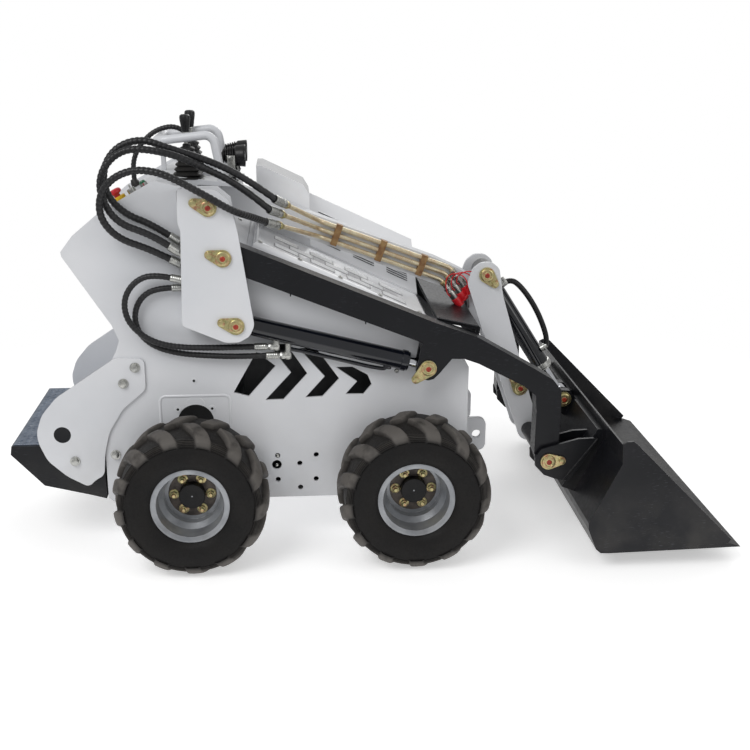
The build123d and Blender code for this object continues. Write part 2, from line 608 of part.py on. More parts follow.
with BuildPart() as lever_pins:
    for centre, bolt in ((LEVER_MID, (1020, 455)), (TILT_EYE, (948, 770))):
        disc(centre, PIN_R, -LEVER_OUT_Y, LEVER_OUT_Y)
        keeper(centre, bolt, LEVER_OUT_Y, 1)
        keeper(centre, bolt, -LEVER_OUT_Y, -1)
lever_pins.part.label = "lever_pins"
export_step(lever_pins.part, "parts/lever_pins.step")


# Cylinders

ROD_CLEARANCE = 0.05
TILT_BARREL_R = 29.0
TILT_ROD_R = 15.0
TILT_GLAND = 392.0
TILT_BORE_START = 40.0
EYE_R = 30.0
HITCH_MID_GAP = 30.0
HITCH_MID_OUT_Y = 60.0
with BuildPart() as tilt_barrel:
    disc(TILT_EYE, 34, -24, 24)
    rod_between(along(TILT_EYE, TILT_ROD_EYE, 25), along(TILT_EYE, TILT_ROD_EYE, TILT_GLAND), TILT_BARREL_R, 0)
    disc(TILT_EYE, PIN_HOLE_R, -25, 25, Mode.SUBTRACT)
    bore_start = along(TILT_EYE, TILT_ROD_EYE, TILT_BORE_START)
    aim = unit(TILT_EYE, TILT_ROD_EYE)
    with BuildSketch(Plane(origin=frame_point(bore_start[0], 0, bore_start[1]), x_dir=(0, 1, 0),
                           z_dir=(aim[0], 0, aim[1]))):
        Circle(TILT_ROD_R + ROD_CLEARANCE)
    extrude(amount=TILT_GLAND - TILT_BORE_START + 1, mode=Mode.SUBTRACT)
tilt_barrel.part.label = "tilt_barrel"
export_step(tilt_barrel.part, "parts/tilt_barrel.step")

with BuildPart() as tilt_rod:
    rod_between(along(TILT_EYE, TILT_ROD_EYE, 120), along(TILT_EYE, TILT_ROD_EYE, 485), TILT_ROD_R, 0)
    disc(TILT_ROD_EYE, EYE_R, -22, 22)
    disc(TILT_ROD_EYE, PIN_R, OPEN_PIN_GAP - HITCH_MID_GAP, HITCH_MID_GAP - OPEN_PIN_GAP)
tilt_rod.part.label = "tilt_rod"
export_step(tilt_rod.part, "parts/tilt_rod.step")

LIFT_BARREL_R = 29.0
LIFT_ROD_R = 16.0
LIFT_GLAND = 522.0
LIFT_BORE_START = 60.0
LIFT_ROD_START = 280.0
LIFT_LENGTH = math.hypot(LIFT_EYE[0] - LIFT_BASE[0], LIFT_EYE[1] - LIFT_BASE[1])
for place, y_mid in (("right", -ARM_MID_Y), ("left", ARM_MID_Y)):
    with BuildPart() as lift_barrel:
        disc(LIFT_BASE, 36, y_mid - 29, y_mid + 29)
        rod_between(along(LIFT_BASE, LIFT_EYE, 25), along(LIFT_BASE, LIFT_EYE, LIFT_GLAND), LIFT_BARREL_R, y_mid)
        disc(LIFT_BASE, PIN_HOLE_R, y_mid - 30, y_mid + 30, Mode.SUBTRACT)
        bore_start = along(LIFT_BASE, LIFT_EYE, LIFT_BORE_START)
        aim = unit(LIFT_BASE, LIFT_EYE)
        with BuildSketch(Plane(origin=frame_point(bore_start[0], y_mid, bore_start[1]), x_dir=(0, 1, 0),
                               z_dir=(aim[0], 0, aim[1]))):
            Circle(LIFT_ROD_R + ROD_CLEARANCE)
        extrude(amount=LIFT_GLAND - LIFT_BORE_START + 1, mode=Mode.SUBTRACT)
    lift_barrel.part.label = "lift_barrel_" + place
    export_step(lift_barrel.part, "parts/lift_barrel_" + place + ".step")

    with BuildPart() as lift_rod:
        rod_between(along(LIFT_BASE, LIFT_EYE, LIFT_ROD_START), along(LIFT_BASE, LIFT_EYE, LIFT_LENGTH - 20),
                    LIFT_ROD_R, y_mid)
        disc(LIFT_EYE, EYE_R, y_mid - 18, y_mid + 18)
        disc(LIFT_EYE, PIN_R, y_mid - CLEVIS_HALF_GAP + OPEN_PIN_GAP, y_mid + CLEVIS_HALF_GAP - OPEN_PIN_GAP)
    lift_rod.part.label = "lift_rod_" + place
    export_step(lift_rod.part, "parts/lift_rod_" + place + ".step")


# Hitch and bucket

HITCH_BAND = [(1129, 187), (1170.6, 171), (1252.1, 341.1), (1249.7, 374), (1231, 374)]
HITCH_HALF_W = 356.0
HITCH_EAR = [(1057, 317), (1170, 347), (1229, 349), (1231, 340), (1150, 210), (1104, 218), (1068, 232),
             (1040, 262), (1038, 290)]
EYE_RECESS_R = 58.0
HITCH_MID_EAR = [(1190, 404), (1164, 392), (1156, 366), (1166, 344), (1222, 300), (1249, 360), (1216, 402)]
with BuildPart() as hitch_frame:
    slab(HITCH_BAND, -HITCH_HALF_W, HITCH_HALF_W)
    disc(TILT_ROD_EYE, EYE_RECESS_R, -HITCH_MID_GAP, HITCH_MID_GAP, Mode.SUBTRACT)
    plate(HITCH_EAR, 366.0, 10)
    plate(HITCH_EAR, 290.0, 10)
    plate(HITCH_MID_EAR, HITCH_MID_OUT_Y, HITCH_MID_OUT_Y - HITCH_MID_GAP)
    disc_pair(HITCH_PIVOT, PIN_SEAT_R, 355, 367, Mode.SUBTRACT)
    disc_pair(HITCH_PIVOT, HITCH_TUBE_R + RUNNING_GAP, 279, 291, Mode.SUBTRACT)
    disc_pair(TILT_ROD_EYE, PIN_SEAT_R, HITCH_MID_GAP - 1, HITCH_MID_OUT_Y + 1, Mode.SUBTRACT)
hitch_frame.part.label = "hitch_frame"
export_step(hitch_frame.part, "parts/hitch_frame.step")

with BuildPart() as hitch_pins:
    disc_pair(HITCH_PIVOT, PIN_R, 300, 366)
    keeper(HITCH_PIVOT, (1120, 279), 366, 1)
    keeper(HITCH_PIVOT, (1120, 279), -366, -1)
    disc_pair(TILT_ROD_EYE, PIN_R, HITCH_MID_GAP, HITCH_MID_OUT_Y)
    keeper(TILT_ROD_EYE, (1170, 362), HITCH_MID_OUT_Y, 1)
    keeper(TILT_ROD_EYE, (1170, 362), -HITCH_MID_OUT_Y, -1)
hitch_pins.part.label = "hitch_pins"
export_step(hitch_pins.part, "parts/hitch_pins.step")

BUCKET_PATH = [(1585, 63.5), (1230, 55.9), (1204.4, 57), (1190, 70), (1164, 134), (1163, 155), (1252.2, 341.1),
               (1247.9, 400.1)]
BUCKET_SIDE = BUCKET_PATH[:1] + BUCKET_PATH[1:] + [(1262, 408), (1280, 409), (1292, 400), (1600, 90)]
BUCKET_SHEET_T = 6.0
CUTTING_EDGE = [(1500, 61.7), (1631.5, 64.9), (1600, 76), (1500, 73.8)]
with BuildPart() as bucket:
    slab(sheet(BUCKET_PATH, -BUCKET_SHEET_T), -BUCKET_HALF_W, BUCKET_HALF_W)
    plate(BUCKET_SIDE, BUCKET_HALF_W, 8)
    slab([(1500, 50), (1640, 50), (1640, 64.9), (1600, 76.2), (1500, 74)], -BUCKET_HALF_W - 1,
         BUCKET_HALF_W + 1, Mode.SUBTRACT)
bucket.part.label = "bucket"
export_step(bucket.part, "parts/bucket.step")

with BuildPart() as cutting_edge:
    slab(CUTTING_EDGE, -BUCKET_HALF_W, BUCKET_HALF_W)
cutting_edge.part.label = "cutting_edge"
export_step(cutting_edge.part, "parts/cutting_edge.step")
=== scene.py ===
"""Looks of a stand-on mini skid steer loader around its packed CAD frame, laid out as an add-on."""

import json
import math

import bmesh
import bpy
from mathutils import Matrix, Vector


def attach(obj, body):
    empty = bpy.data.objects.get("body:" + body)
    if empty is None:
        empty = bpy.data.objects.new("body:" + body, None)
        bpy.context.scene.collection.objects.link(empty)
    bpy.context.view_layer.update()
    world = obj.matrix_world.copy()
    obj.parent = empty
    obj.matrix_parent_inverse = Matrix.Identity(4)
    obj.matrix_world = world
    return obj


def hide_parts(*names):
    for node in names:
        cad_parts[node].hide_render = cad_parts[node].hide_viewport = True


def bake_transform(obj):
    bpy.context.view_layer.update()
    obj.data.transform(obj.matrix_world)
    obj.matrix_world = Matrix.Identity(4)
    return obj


bl_info = {
    "name": "Mini Skid Steer Loader Looks",
    "version": (1, 0, 0),
    "blender": (4, 5, 0),
    "location": "3D View > Sidebar > Loader",
    "description": "Builds the visible pieces, materials and stage of a stand-on mini skid steer loader",
    "category": "Object",
}

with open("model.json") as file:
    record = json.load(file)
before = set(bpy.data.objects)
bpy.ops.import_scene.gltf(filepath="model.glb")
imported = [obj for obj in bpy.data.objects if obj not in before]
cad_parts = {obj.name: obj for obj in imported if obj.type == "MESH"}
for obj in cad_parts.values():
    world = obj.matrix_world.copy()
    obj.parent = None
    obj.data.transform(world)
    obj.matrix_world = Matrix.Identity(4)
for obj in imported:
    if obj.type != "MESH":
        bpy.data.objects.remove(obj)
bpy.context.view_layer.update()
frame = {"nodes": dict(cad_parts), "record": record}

# Lengths are in mm from the rear axle (x) and the ground (z) until at() turns them into the shared frame.

REAR_AXLE_X = -539.25
AXLE_Z = 228.5
WHEELBASE = 656.0
# Distances from the middle plane: middles of tyre and arm, then outer faces of plates
TYRE_MID_Y = 436.0
ARM_MID_Y = 321.0
CHASSIS_OUT_Y = 286.0
REAR_PLATE_OUT_Y = 294.0
ARM_OUT_Y = 351.0
TOWER_OUT_Y = 366.0
LEVER_OUT_Y = 75.0
HITCH_MID_OUT_Y = 60.0
KEEPER_T = 6.0
# How far a thin detail sits inside the face that carries it
SUNK = 0.4
# Tread sheet: top, corner and size. Lozenge: half length and half width in metres
TREAD_TOP_Z = 338.4
TREAD_CORNER = (-541, -272)
TREAD_SIZE = (256, 544)
LOZENGE_HALF = (0.0105, 0.0032)
WHEELS = [("rear_right", 0.0, -1), ("rear_left", 0.0, 1), ("front_right", WHEELBASE, -1),
          ("front_left", WHEELBASE, 1)]
FORWARD = Vector((1, 0, 0))
LEFT = Vector((0, 1, 0))
UP = Vector((0, 0, 1))
DECK_START = (160.0, 934.0)
DECK_END = (722.0, 672.0)
HOOD_T = 34.0
COWL_OUT = Vector((-0.4813, 0.0, 0.8766))
TILT_EYE = (922.0, 799.0)
TILT_ROD_EYE = (1196.0, 374.0)
LIFT_BASE = (141.0, 721.0)
LIFT_EYE = (705.0, 578.0)
HITCH_PIN = (1080, 277)
PIPE_TAIL = Vector((0.62, 0.0, -0.785))

# Pin, keeper bolt, |y| of the face, body
KEEPERS = [
    ((74, 1064), (34, 1078), TOWER_OUT_Y, "chassis"), ((110, 920), (72, 931), TOWER_OUT_Y, "chassis"),
    (LIFT_BASE, (101, 732), TOWER_OUT_Y, "chassis"), (LIFT_EYE, (668, 545), ARM_OUT_Y, "boom"),
    ((1044, 421), (1020, 455), LEVER_OUT_Y, "lever"), (TILT_EYE, (948, 770), LEVER_OUT_Y, "lever"),
    (HITCH_PIN, (1120, 279), TOWER_OUT_Y, "bucket"), (TILT_ROD_EYE, (1170, 362), HITCH_MID_OUT_Y, "bucket"),
]

# Upper hoses: tower to the pipes on the levelling link
LINK_HOSES = [
    [(-36, -306, 972), (-90, -306, 1009), (-165, -306, 1039), (-214, -306, 1095), (-218, -306, 1169),
     (-175, -306, 1229), (-104, -306, 1249), (-34, -306, 1223), (74, -293, 1188), (172, -262, 1137),
     (262, -230, 1066)],
    [(-36, -334, 948), (-89, -334, 984), (-187, -334, 1019), (-226, -334, 1097), (-220, -334, 1158),
     (-182, -334, 1207), (-124, -334, 1228), (-15, -330, 1208), (60, -303, 1169), (160, -262, 1113),
     (246, -230, 1035)],
    [(-36, -320, 908), (-97, -324, 941), (-180, -337, 973), (-224, -352, 1027), (-225, -368, 1091),
     (-190, -384, 1145), (-128, -394, 1174), (-63, -400, 1170), (-8, -403, 1148), (38, -403, 1122),
     (84, -402, 1096), (126, -396, 1069), (158, -370, 1050), (184, -326, 1034), (208, -280, 1018),
     (236, -230, 999)],
]
PIPE_Y = -40.0
PIPE_STARTS = [(395, PIPE_Y, 970.7), (395, PIPE_Y, 946.2), (395, PIPE_Y, 921.7)]
PIPE_DEPTHS = (12.0, 35.0, 58.0)
# Lower hoses of one lift cylinder, drawn on the left (y positive)
LIFT_HOSES = [
    [(-36, 335, 858), (-93, 335, 871), (-147, 335, 849), (-179, 335, 799), (-175, 335, 740), (-139, 335, 693),
     (-87, 334, 663), (-20, 331, 650), (60, 326, 646), (130, 322, 646), (198, 321, 646)],
    [(-36, 307, 824), (-92, 307, 823), (-138, 307, 792), (-157, 307, 739), (-144, 307, 685), (-101, 307, 646),
     (-30, 309, 625), (50, 314, 619), (130, 319, 616), (232, 321, 618)],
]
# Ports on the lift barrel (x, z of the hose, z of the barrel) and the hard tube along it
LIFT_PORTS = [(256, 646, 676), (290, 618, 668)]
LIFT_TUBE = [(292, 640), (300, 636), (330, 630), (450, 599), (566, 569), (584, 573), (594, 592)]
# The tilt cylinder's hose: run along the cylinder, rise from its axis
TILT_HOSE = [(70, 40), (74, 58), (96, 72), (150, 80), (214, 79), (272, 70), (314, 58), (330, 46)]
COWL_HOSE = [(-176.2, 30, 1084), (-180, 30, 1124), (-172, 30, 1168), (-144, 30, 1211), (-100, 30, 1246),
             (-40, 30, 1258), (12, 30, 1216), (18, 30, 1155), (18, 30, 1112)]
# Outlines of plates in the side view
TOWER_OUTLINE = [(-10, 1118), (-12, 1019), (-5, 1002), (-13, 724), (110, 671), (150, 672), (180, 690), (194, 722),
                 (190, 750), (154, 998), (134, 1082), (99, 1113)]
TOWER_WEBS = [[(-12, 1019), (-12, 1110), (-4, 1110), (-4, 1005)], [(-13, 724), (-10, 820), (-2, 820), (-5, 722)]]
REAR_PLATE = [(-221, 610), (-137, 606), (-137, 510), (-209, 449), (-253, 377), (-270, 309), (-277, 237),
              (-303, 225), (-325, 201), (-388, 237), (-442, 289), (-465, 345), (-468, 382), (-449, 436),
              (-403, 489), (-350, 524)]
LEVER_OUTLINE = [(860, 775), (876, 819), (903, 840), (936, 840), (962, 820), (977, 730), (1038, 528), (1083, 379),
                 (1118, 295), (1115, 255), (1095, 238), (1066, 238), (1046, 255), (1041, 275), (978, 451),
                 (909, 630)]
# Middle of the pressed ridge above the rear wheel
SIDE_RIDGE = [(-98, 372), (-98, 470), (-94, 480), (-84, 485), (96, 485), (107, 481), (111, 470), (111, 372)]
# Groups of louvres on the hood (run down the slope from its top edge, y) and on the cover (x, y)
LOUVRES_IN_GROUP, LOUVRE_PITCH, LOUVRE_START = 6, 8, -20
HOOD_LOUVRES = [(110, -185), (230, -185), (350, -185), (470, -185), (160, -125), (280, -125), (400, -125),
                (110, -65), (230, -65), (350, -65), (470, -65)]
COVER_LOUVRES = [(x, y) for x in (430, 540, 650) for y in (95, 165)]
BOOT_PLEATS = 6
LEVER_PAIR_Y, LAMP_PAIR_Y = 87, 74
LAMP_ARM = [(118, 1180), (142, 1180), (142, 1146), (148, 1118), (126, 1118), (120, 1146)]
PANEL_Y = -205
# Camera fitted to the photograph: yaw, pitch and roll in degrees, place in metres, focal length in pixels
CAMERA_TURN = (4.454, 17.352, 0.23)
CAMERA_SPOT = (-0.2382, -3.49431, 1.54563)
FOCAL_PIXELS = 1110.84
PHOTO_WIDTH = 750


def at(x, y, z):
    """The point in the shared frame, in metres."""
    return Vector(((x + REAR_AXLE_X) / 1000, y / 1000, z / 1000))


def in_mm(point):
    """The x, y and z in mm, as at() takes them, of a point in the shared frame."""
    return (point.x * 1000 - REAR_AXLE_X, point.y * 1000, point.z * 1000)


def line_way(start, end):
    """Unit vector from start to end, both (x, z)."""
    return Vector((end[0] - start[0], 0, end[1] - start[1])).normalized()


def along(start, way, run, y=0.0):
    """The point at a run in mm from start (x, z) along a way, at y."""
    return at(start[0] + way.x * run, y, start[1] + way.z * run)


def square_to(way):
    """The unit vector square to a way in the side view, a quarter turn up from it."""
    return Vector((-way.z, 0, way.x))


def deck_z(x):
    """Height of the sloped deck under the hood."""
    return DECK_START[1] + (DECK_END[1] - DECK_START[1]) * (x - DECK_START[0]) / (DECK_END[0] - DECK_START[0])


# Materials


def linear(code):
    """Scene colour of an sRGB hex code."""
    parts = [int(code[i:i + 2], 16) / 255 for i in (1, 3, 5)]
    return [p / 12.92 if p <= 0.04045 else ((p + 0.055) / 1.055) ** 2.4 for p in parts] + [1.0]


def node(tree, kind, options=None, sockets=None):
    """Add a node, set its options, and set or link its inputs."""
    new = tree.nodes.new(kind)
    for key, value in (options or {}).items():
        setattr(new, key, value)
    for key, value in (sockets or {}).items():
        if isinstance(value, bpy.types.NodeSocket):
            tree.links.new(value, new.inputs[key])
        else:
            new.inputs[key].default_value = value
    return new


def grain(tree, scale, detail=3.0, stretch=(1, 1, 1)):
    """Noise in object space, its scale in repeats a metre."""
    place = node(tree, "ShaderNodeTexCoord").outputs["Object"]
    place = node(tree, "ShaderNodeMapping", None, {"Vector": place, "Scale": stretch}).outputs[0]
    return node(tree, "ShaderNodeTexNoise", None, {"Vector": place, "Scale": scale, "Detail": detail}).outputs[0]


def spread(tree, value, low, high, to_low=0.0, to_high=1.0):
    """Value mapped from one range to another, clamped."""
    return node(tree, "ShaderNodeMapRange", None, {0: value, 1: low, 2: high, 3: to_low, 4: to_high}).outputs[0]


def times(tree, a, b):
    """Product of two values."""
    return node(tree, "ShaderNodeMath", {"operation": "MULTIPLY"}, {0: a, 1: b}).outputs[0]


def larger(tree, a, b):
    """Larger of two values."""
    return node(tree, "ShaderNodeMath", {"operation": "MAXIMUM"}, {0: a, 1: b}).outputs[0]


def mixed(tree, factor, a, b):
    """Colour a turning into colour b, each a socket, a colour or an sRGB hex code."""
    a, b = (linear(shade) if isinstance(shade, str) else shade for shade in (a, b))
    return node(tree, "ShaderNodeMix", {"data_type": "RGBA"}, {0: factor, 6: a, 7: b}).outputs[2]


def edge_mask(tree, radius):
    """1 along convex and concave edges within the radius in m, with the rounded normal."""
    rounded = node(tree, "ShaderNodeBevel", {"samples": 4}, {"Radius": radius}).outputs[0]
    flat = node(tree, "ShaderNodeNewGeometry").outputs["Normal"]
    same = node(tree, "ShaderNodeVectorMath", {"operation": "DOT_PRODUCT"}, {0: rounded, 1: flat}).outputs["Value"]
    return spread(tree, same, 0.985, 0.85), rounded


def surface(name, colour, tint, rough=(0.3, 0.4), metallic=0.0, coat=0.0, mottle=6.0, peel=(900.0, 0.00004),
            edge=None, dust=None, scratch=None, gleam=0.5):
    """A finish of mottled colour, uneven gloss and fine bump, with worn edges, dust and scratches if asked.

    Peel is the bump's scale and depth, edge a colour and a radius, dust a colour, its height in m and its share.
    """
    material = bpy.data.materials.new(name)
    material.use_nodes = True
    tree = material.node_tree
    shader = tree.nodes["Principled BSDF"]
    patch = grain(tree, mottle, 5.0)
    shade = mixed(tree, spread(tree, patch, 0.35, 0.65), colour, tint)
    fine = grain(tree, mottle * 14, 4.0)
    gloss = spread(tree, fine, 0.3, 0.7, rough[0], rough[1])
    height = grain(tree, peel[0], 2.0)
    rounded = None
    if scratch:
        lines = grain(tree, 55.0, 6.0, (1.0, 1.0, 9.0))
        marks = times(tree, spread(tree, lines, 0.62, 0.66), spread(tree, grain(tree, 9.0), 0.45, 0.6))
        shade = mixed(tree, marks, shade, scratch)
        gloss = larger(tree, gloss, times(tree, marks, 0.55))
    if edge:
        mask, rounded = edge_mask(tree, edge[1])
        # Lighter edges: wear on the rubbed and scraped finishes, a painted highlight on the others
        edge_wear_and_highlight = times(tree, mask, spread(tree, grain(tree, 70.0), 0.4, 0.62))
        shade = mixed(tree, edge_wear_and_highlight, shade, edge[0])
    if dust:
        up = node(tree, "ShaderNodeSeparateXYZ", None,
                  {0: node(tree, "ShaderNodeTexCoord").outputs["Object"]}).outputs["Z"]
        low = times(tree, spread(tree, up, dust[1], 0.0), spread(tree, grain(tree, 11.0, 6.0), 0.35, 0.75))
        shade = mixed(tree, times(tree, low, dust[2]), shade, dust[0])
        gloss = larger(tree, gloss, times(tree, low, 0.7))
    bump = node(tree, "ShaderNodeBump", None, {"Strength": 0.6, "Distance": peel[1], "Height": height})
    if rounded:
        tree.links.new(rounded, bump.inputs["Normal"])
    for name, value in (("Base Color", shade), ("Roughness", gloss), ("Normal", bump.outputs[0])):
        tree.links.new(value, shader.inputs[name])
    for name, value in (("Metallic", metallic), ("Coat Weight", coat), ("Specular IOR Level", gleam),
                        ("Coat Roughness", 0.08)):
        shader.inputs[name].default_value = value
    return material


def tint_by(material, attribute, colour, share, rough):
    """Mix a colour in where a mesh attribute is high, broken up by noise."""
    tree = material.node_tree
    shader = tree.nodes["Principled BSDF"]
    amount = node(tree, "ShaderNodeAttribute", {"attribute_name": attribute}).outputs["Fac"]
    broken = times(tree, times(tree, amount, spread(tree, grain(tree, 26.0, 5.0), 0.12, 0.5)), share)
    base = shader.inputs["Base Color"].links[0].from_socket
    gloss = shader.inputs["Roughness"].links[0].from_socket
    tree.links.new(mixed(tree, broken, base, colour), shader.inputs["Base Color"])
    tree.links.new(larger(tree, gloss, times(tree, broken, rough)), shader.inputs["Roughness"])


def settings():
    """The sizes and colours set in the scene."""
    return bpy.context.scene.loader_looks


def make_materials():
    """All finishes of the loader, named for the real material and how it is made."""
    looks = settings()
    body, arm, rubber, dust = (list(colour) + [1.0] for colour in (
        looks.body_colour, looks.arm_colour, looks.rubber_colour, looks.dust_colour))
    # Powder coat on steel sheet: even light grey white, soft highlights, a little dust low down, and a whiter line
    # along the edges as a painted highlight
    surface("powder_coat_white", body, "#CCCED2", (0.3, 0.42), coat=0.25, mottle=3.0,
            peel=(700.0, 0.00006), edge=("#F0F0EE", 0.0016), dust=(dust, 0.5, 0.3))
    # Gloss paint on the pressed hood: shinier than the frame; its whiter colour is painted light for its upward
    # facing top, and its whiter edge line a painted highlight
    surface("gloss_paint_hood_painted_light", "#ECEDEF", "#E0E1E4", (0.1, 0.2), coat=0.7, mottle=3.0,
            peel=(500.0, 0.00005), edge=("#F6F6F4", 0.002))
    # Black paint on welded plate: satin charcoal, fine scratches and rubbed edges
    surface("satin_paint_black", arm, "#111216", (0.3, 0.45), gleam=0.28, mottle=8.0,
            peel=(600.0, 0.00006), edge=("#3C3C40", 0.0014), dust=(dust, 0.35, 0.12),
            scratch="#2A2B30")
    # Bucket plate: the same paint scraped by soil
    surface("worn_paint_bucket", arm, "#16161A", (0.32, 0.46), gleam=0.3, mottle=5.0,
            peel=(260.0, 0.00012), edge=("#4C4B49", 0.0018), dust=(dust, 0.3, 0.12),
            scratch="#34343A")
    # Moulded tyre rubber: deep matt black with a faint grain
    tyre = surface("moulded_tyre_rubber", rubber, "#141211", (0.5, 0.7), gleam=0.22, mottle=14.0,
                   peel=(420.0, 0.00022))
    # Tread blocks and shoulder ribs are tinted light grey: a thin film of dried soil, and a painted highlight on
    # the lug tops and rib crests; the sidewall stays black
    tint_by(tyre, "soil_and_highlight", "#67635F", 0.75, 0.85)
    # Silver wheel enamel, darker brown towards the bottom, and lighter along the edges as a painted highlight
    surface("wheel_enamel_silver", "#9DA0A4", "#7E8186", (0.28, 0.42), metallic=0.45, coat=0.3,
            mottle=16.0, edge=("#C9CBCE", 0.0015), dust=("#5F5850", 0.34, 0.45))
    # Hub face: forged steel gone brown
    surface("forged_steel_hub", "#5E5650", "#3E3936", (0.4, 0.6), metallic=0.5, mottle=40.0)
    # Cylinder enamel: near black blue under a hard gloss, lighter blue grey along the edges as a painted highlight
    surface("gloss_enamel_cylinder", "#0D1018", "#090B11", (0.08, 0.16), coat=0.5, gleam=0.4, mottle=5.0,
            peel=(300.0, 0.00003), edge=("#3A3F4A", 0.0012))
    # Hard chrome on a ground rod, faintly mottled
    surface("hard_chrome_rod", "#D6D8DC", "#C6C8CD", (0.05, 0.12), metallic=1.0, mottle=60.0)
    # Yellow zinc on keepers and nuts: pale gold, brighter along the edges as a painted highlight
    zinc = surface("yellow_zinc_plate", "#CDBE8C", "#A9A678", (0.22, 0.4), metallic=0.85,
                   mottle=45.0, edge=("#CFC6A2", 0.0012))
    # Chromate film: patches of green and rose over the gold
    tree = zinc.node_tree
    shader = tree.nodes["Principled BSDF"]
    film = mixed(tree, spread(tree, grain(tree, 95.0, 1.0), 0.5, 0.72),
                 shader.inputs["Base Color"].links[0].from_socket, "#B98E70")
    tree.links.new(film, shader.inputs["Base Color"])
    # Bright zinc on fittings and bolts: pale grey with a cool cast, lighter along the edges as a painted highlight
    surface("bright_zinc_plate", "#BDBDB8", "#A6A7A5", (0.2, 0.36), metallic=0.95, mottle=60.0,
            edge=("#E2E2DE", 0.001))
    # Brass coloured pipe: zinc chromate on drawn steel
    surface("chromate_pipe", "#E6DCBC", "#D2BC9A", (0.24, 0.38), metallic=0.8, mottle=38.0)
    # Pressed clamps: copper brown, dull and a little patchy, lighter copper along the edges as a painted highlight
    surface("copper_brown_clamp", "#A4855A", "#7E5A3E", (0.35, 0.5), metallic=0.55, mottle=50.0,
            edge=("#B68B62", 0.001))
    # Rolled aluminium tread: bluish grey, scuffed on top
    surface("rolled_aluminium_tread", "#8F99A8", "#727C8C", (0.28, 0.5), metallic=0.85,
            mottle=20.0, edge=("#C2C8D2", 0.001), scratch="#B4BAC4")
    # Hose rubber in its guard: black with a soft sheen
    hose = surface("wrapped_hose_rubber", "#151516", "#101011", (0.3, 0.46), gleam=0.35, mottle=30.0,
                   peel=(800.0, 0.0001))
    # Spiral guard: the strip's crown is lighter than its groove
    tint_by(hose, "crown", "#2C2C2E", 0.7, 0.4)
    # Moulded rubber boots: matt black, a little dusty
    surface("moulded_boot_rubber", "#111112", "#19191A", (0.45, 0.6), gleam=0.35, mottle=25.0,
            dust=(dust, 2.0, 0.15))
    # Plastic of grips and lamps: black, fine grain, soft shine
    surface("moulded_black_plastic", "#101012", "#161618", (0.24, 0.4), gleam=0.4, mottle=25.0,
            peel=(1500.0, 0.00006))
    # Cast iron of the engine: dull grey with a sandy skin
    surface("cast_iron_grey", "#4A4B4D", "#39393B", (0.5, 0.7), metallic=0.3, mottle=18.0,
            peel=(240.0, 0.0003))
    # Painted castings of the wheel motors: near black, edges rubbed
    surface("cast_iron_black", "#121213", "#1C1B1B", (0.45, 0.65), gleam=0.3, mottle=30.0,
            peel=(240.0, 0.00025), edge=("#4E4C4A", 0.0012))
    # Injection moulded controls: plain strong colours under a slight gloss
    surface("moulded_red_plastic", "#D2252C", "#B81D26", (0.22, 0.34), mottle=40.0)
    surface("moulded_orange_cap", "#A93A22", "#8E2E1E", (0.3, 0.45), mottle=60.0)
    surface("moulded_yellow_plastic", "#E6BE24", "#D2A81E", (0.25, 0.36), mottle=40.0)
    surface("moulded_green_lens", "#1F8A5A", "#176B46", (0.1, 0.2), coat=0.6, mottle=40.0)
    # Painted shade: dark matt colour standing in for the shade inside the louvre slits and the holes in the side
    # plates
    surface("painted_shade_dark", "#0A0A0B", "#101011", (0.6, 0.8), mottle=20.0)
    # Clear lamp glass: smooth, with a sharp highlight
    glass = surface("lamp_glass", "#E8ECEE", "#D6DCE0", (0.03, 0.08), mottle=30.0)
    glass.node_tree.nodes["Principled BSDF"].inputs["Transmission Weight"].default_value = 0.75
    # Vacuum coated reflector: a bright mirror behind the lens
    surface("vacuum_coated_reflector", "#D9DADB", "#C8C9CB", (0.08, 0.16), metallic=1.0,
            mottle=50.0)


SLOT_FINISH = {
    "painted_white": "powder_coat_white", "painted_black": "satin_paint_black",
    "tyre_rubber": "moulded_tyre_rubber", "rim_silver": "wheel_enamel_silver",
    "cylinder_paint": "gloss_enamel_cylinder", "chrome_rod": "hard_chrome_rod",
    "yellow_zinc": "yellow_zinc_plate", "white_zinc": "bright_zinc_plate", "clamp_paint": "copper_brown_clamp",
    "tread_aluminium": "rolled_aluminium_tread", "boot_rubber": "moulded_boot_rubber",
    "black_plastic": "moulded_black_plastic", "engine_grey": "cast_iron_grey", "motor_black": "cast_iron_black",
}
NODE_FINISH = {"deck_hood": "gloss_paint_hood_painted_light", "raised_cover": "gloss_paint_hood_painted_light", "air_box": "gloss_paint_hood_painted_light",
               "bucket": "worn_paint_bucket", "cutting_edge": "worn_paint_bucket",
               "hydraulic_pipes": "chromate_pipe"}


def dress_nodes():
    """Every CAD node gets the finish of its material slot."""
    for part in frame["record"]["subparts"]:
        finish = NODE_FINISH.get(part["node"], SLOT_FINISH[part["material_slot"]])
        mesh = frame["nodes"][part["node"]].data
        mesh.materials.clear()
        mesh.materials.append(bpy.data.materials[finish])


# Shapes


def aimed(origin, direction):
    """Matrix that puts local Z along the direction, at the origin."""
    return Matrix.Translation(origin) @ direction.to_track_quat("Z", "Y").to_matrix().to_4x4()


def mark(bm, start, finish):
    """Give the faces made since start a material index."""
    bm.faces.ensure_lookup_table()
    for face in bm.faces[start:]:
        face.material_index = finish


def lathe(bm, origin, direction, profile, finish=0, steps=32):
    """Spin a profile of (run, radius) in mm about an axis."""
    start = len(bm.faces)
    place = aimed(origin, direction)
    line = [bm.verts.new(place @ Vector((radius / 1000, 0, run / 1000))) for run, radius in profile]
    edges = [bm.edges.new(pair) for pair in zip(line, line[1:])]
    bmesh.ops.spin(bm, geom=line + edges, cent=origin, axis=direction, angle=2 * math.pi, steps=steps,
                   use_merge=True)
    mark(bm, start, finish)


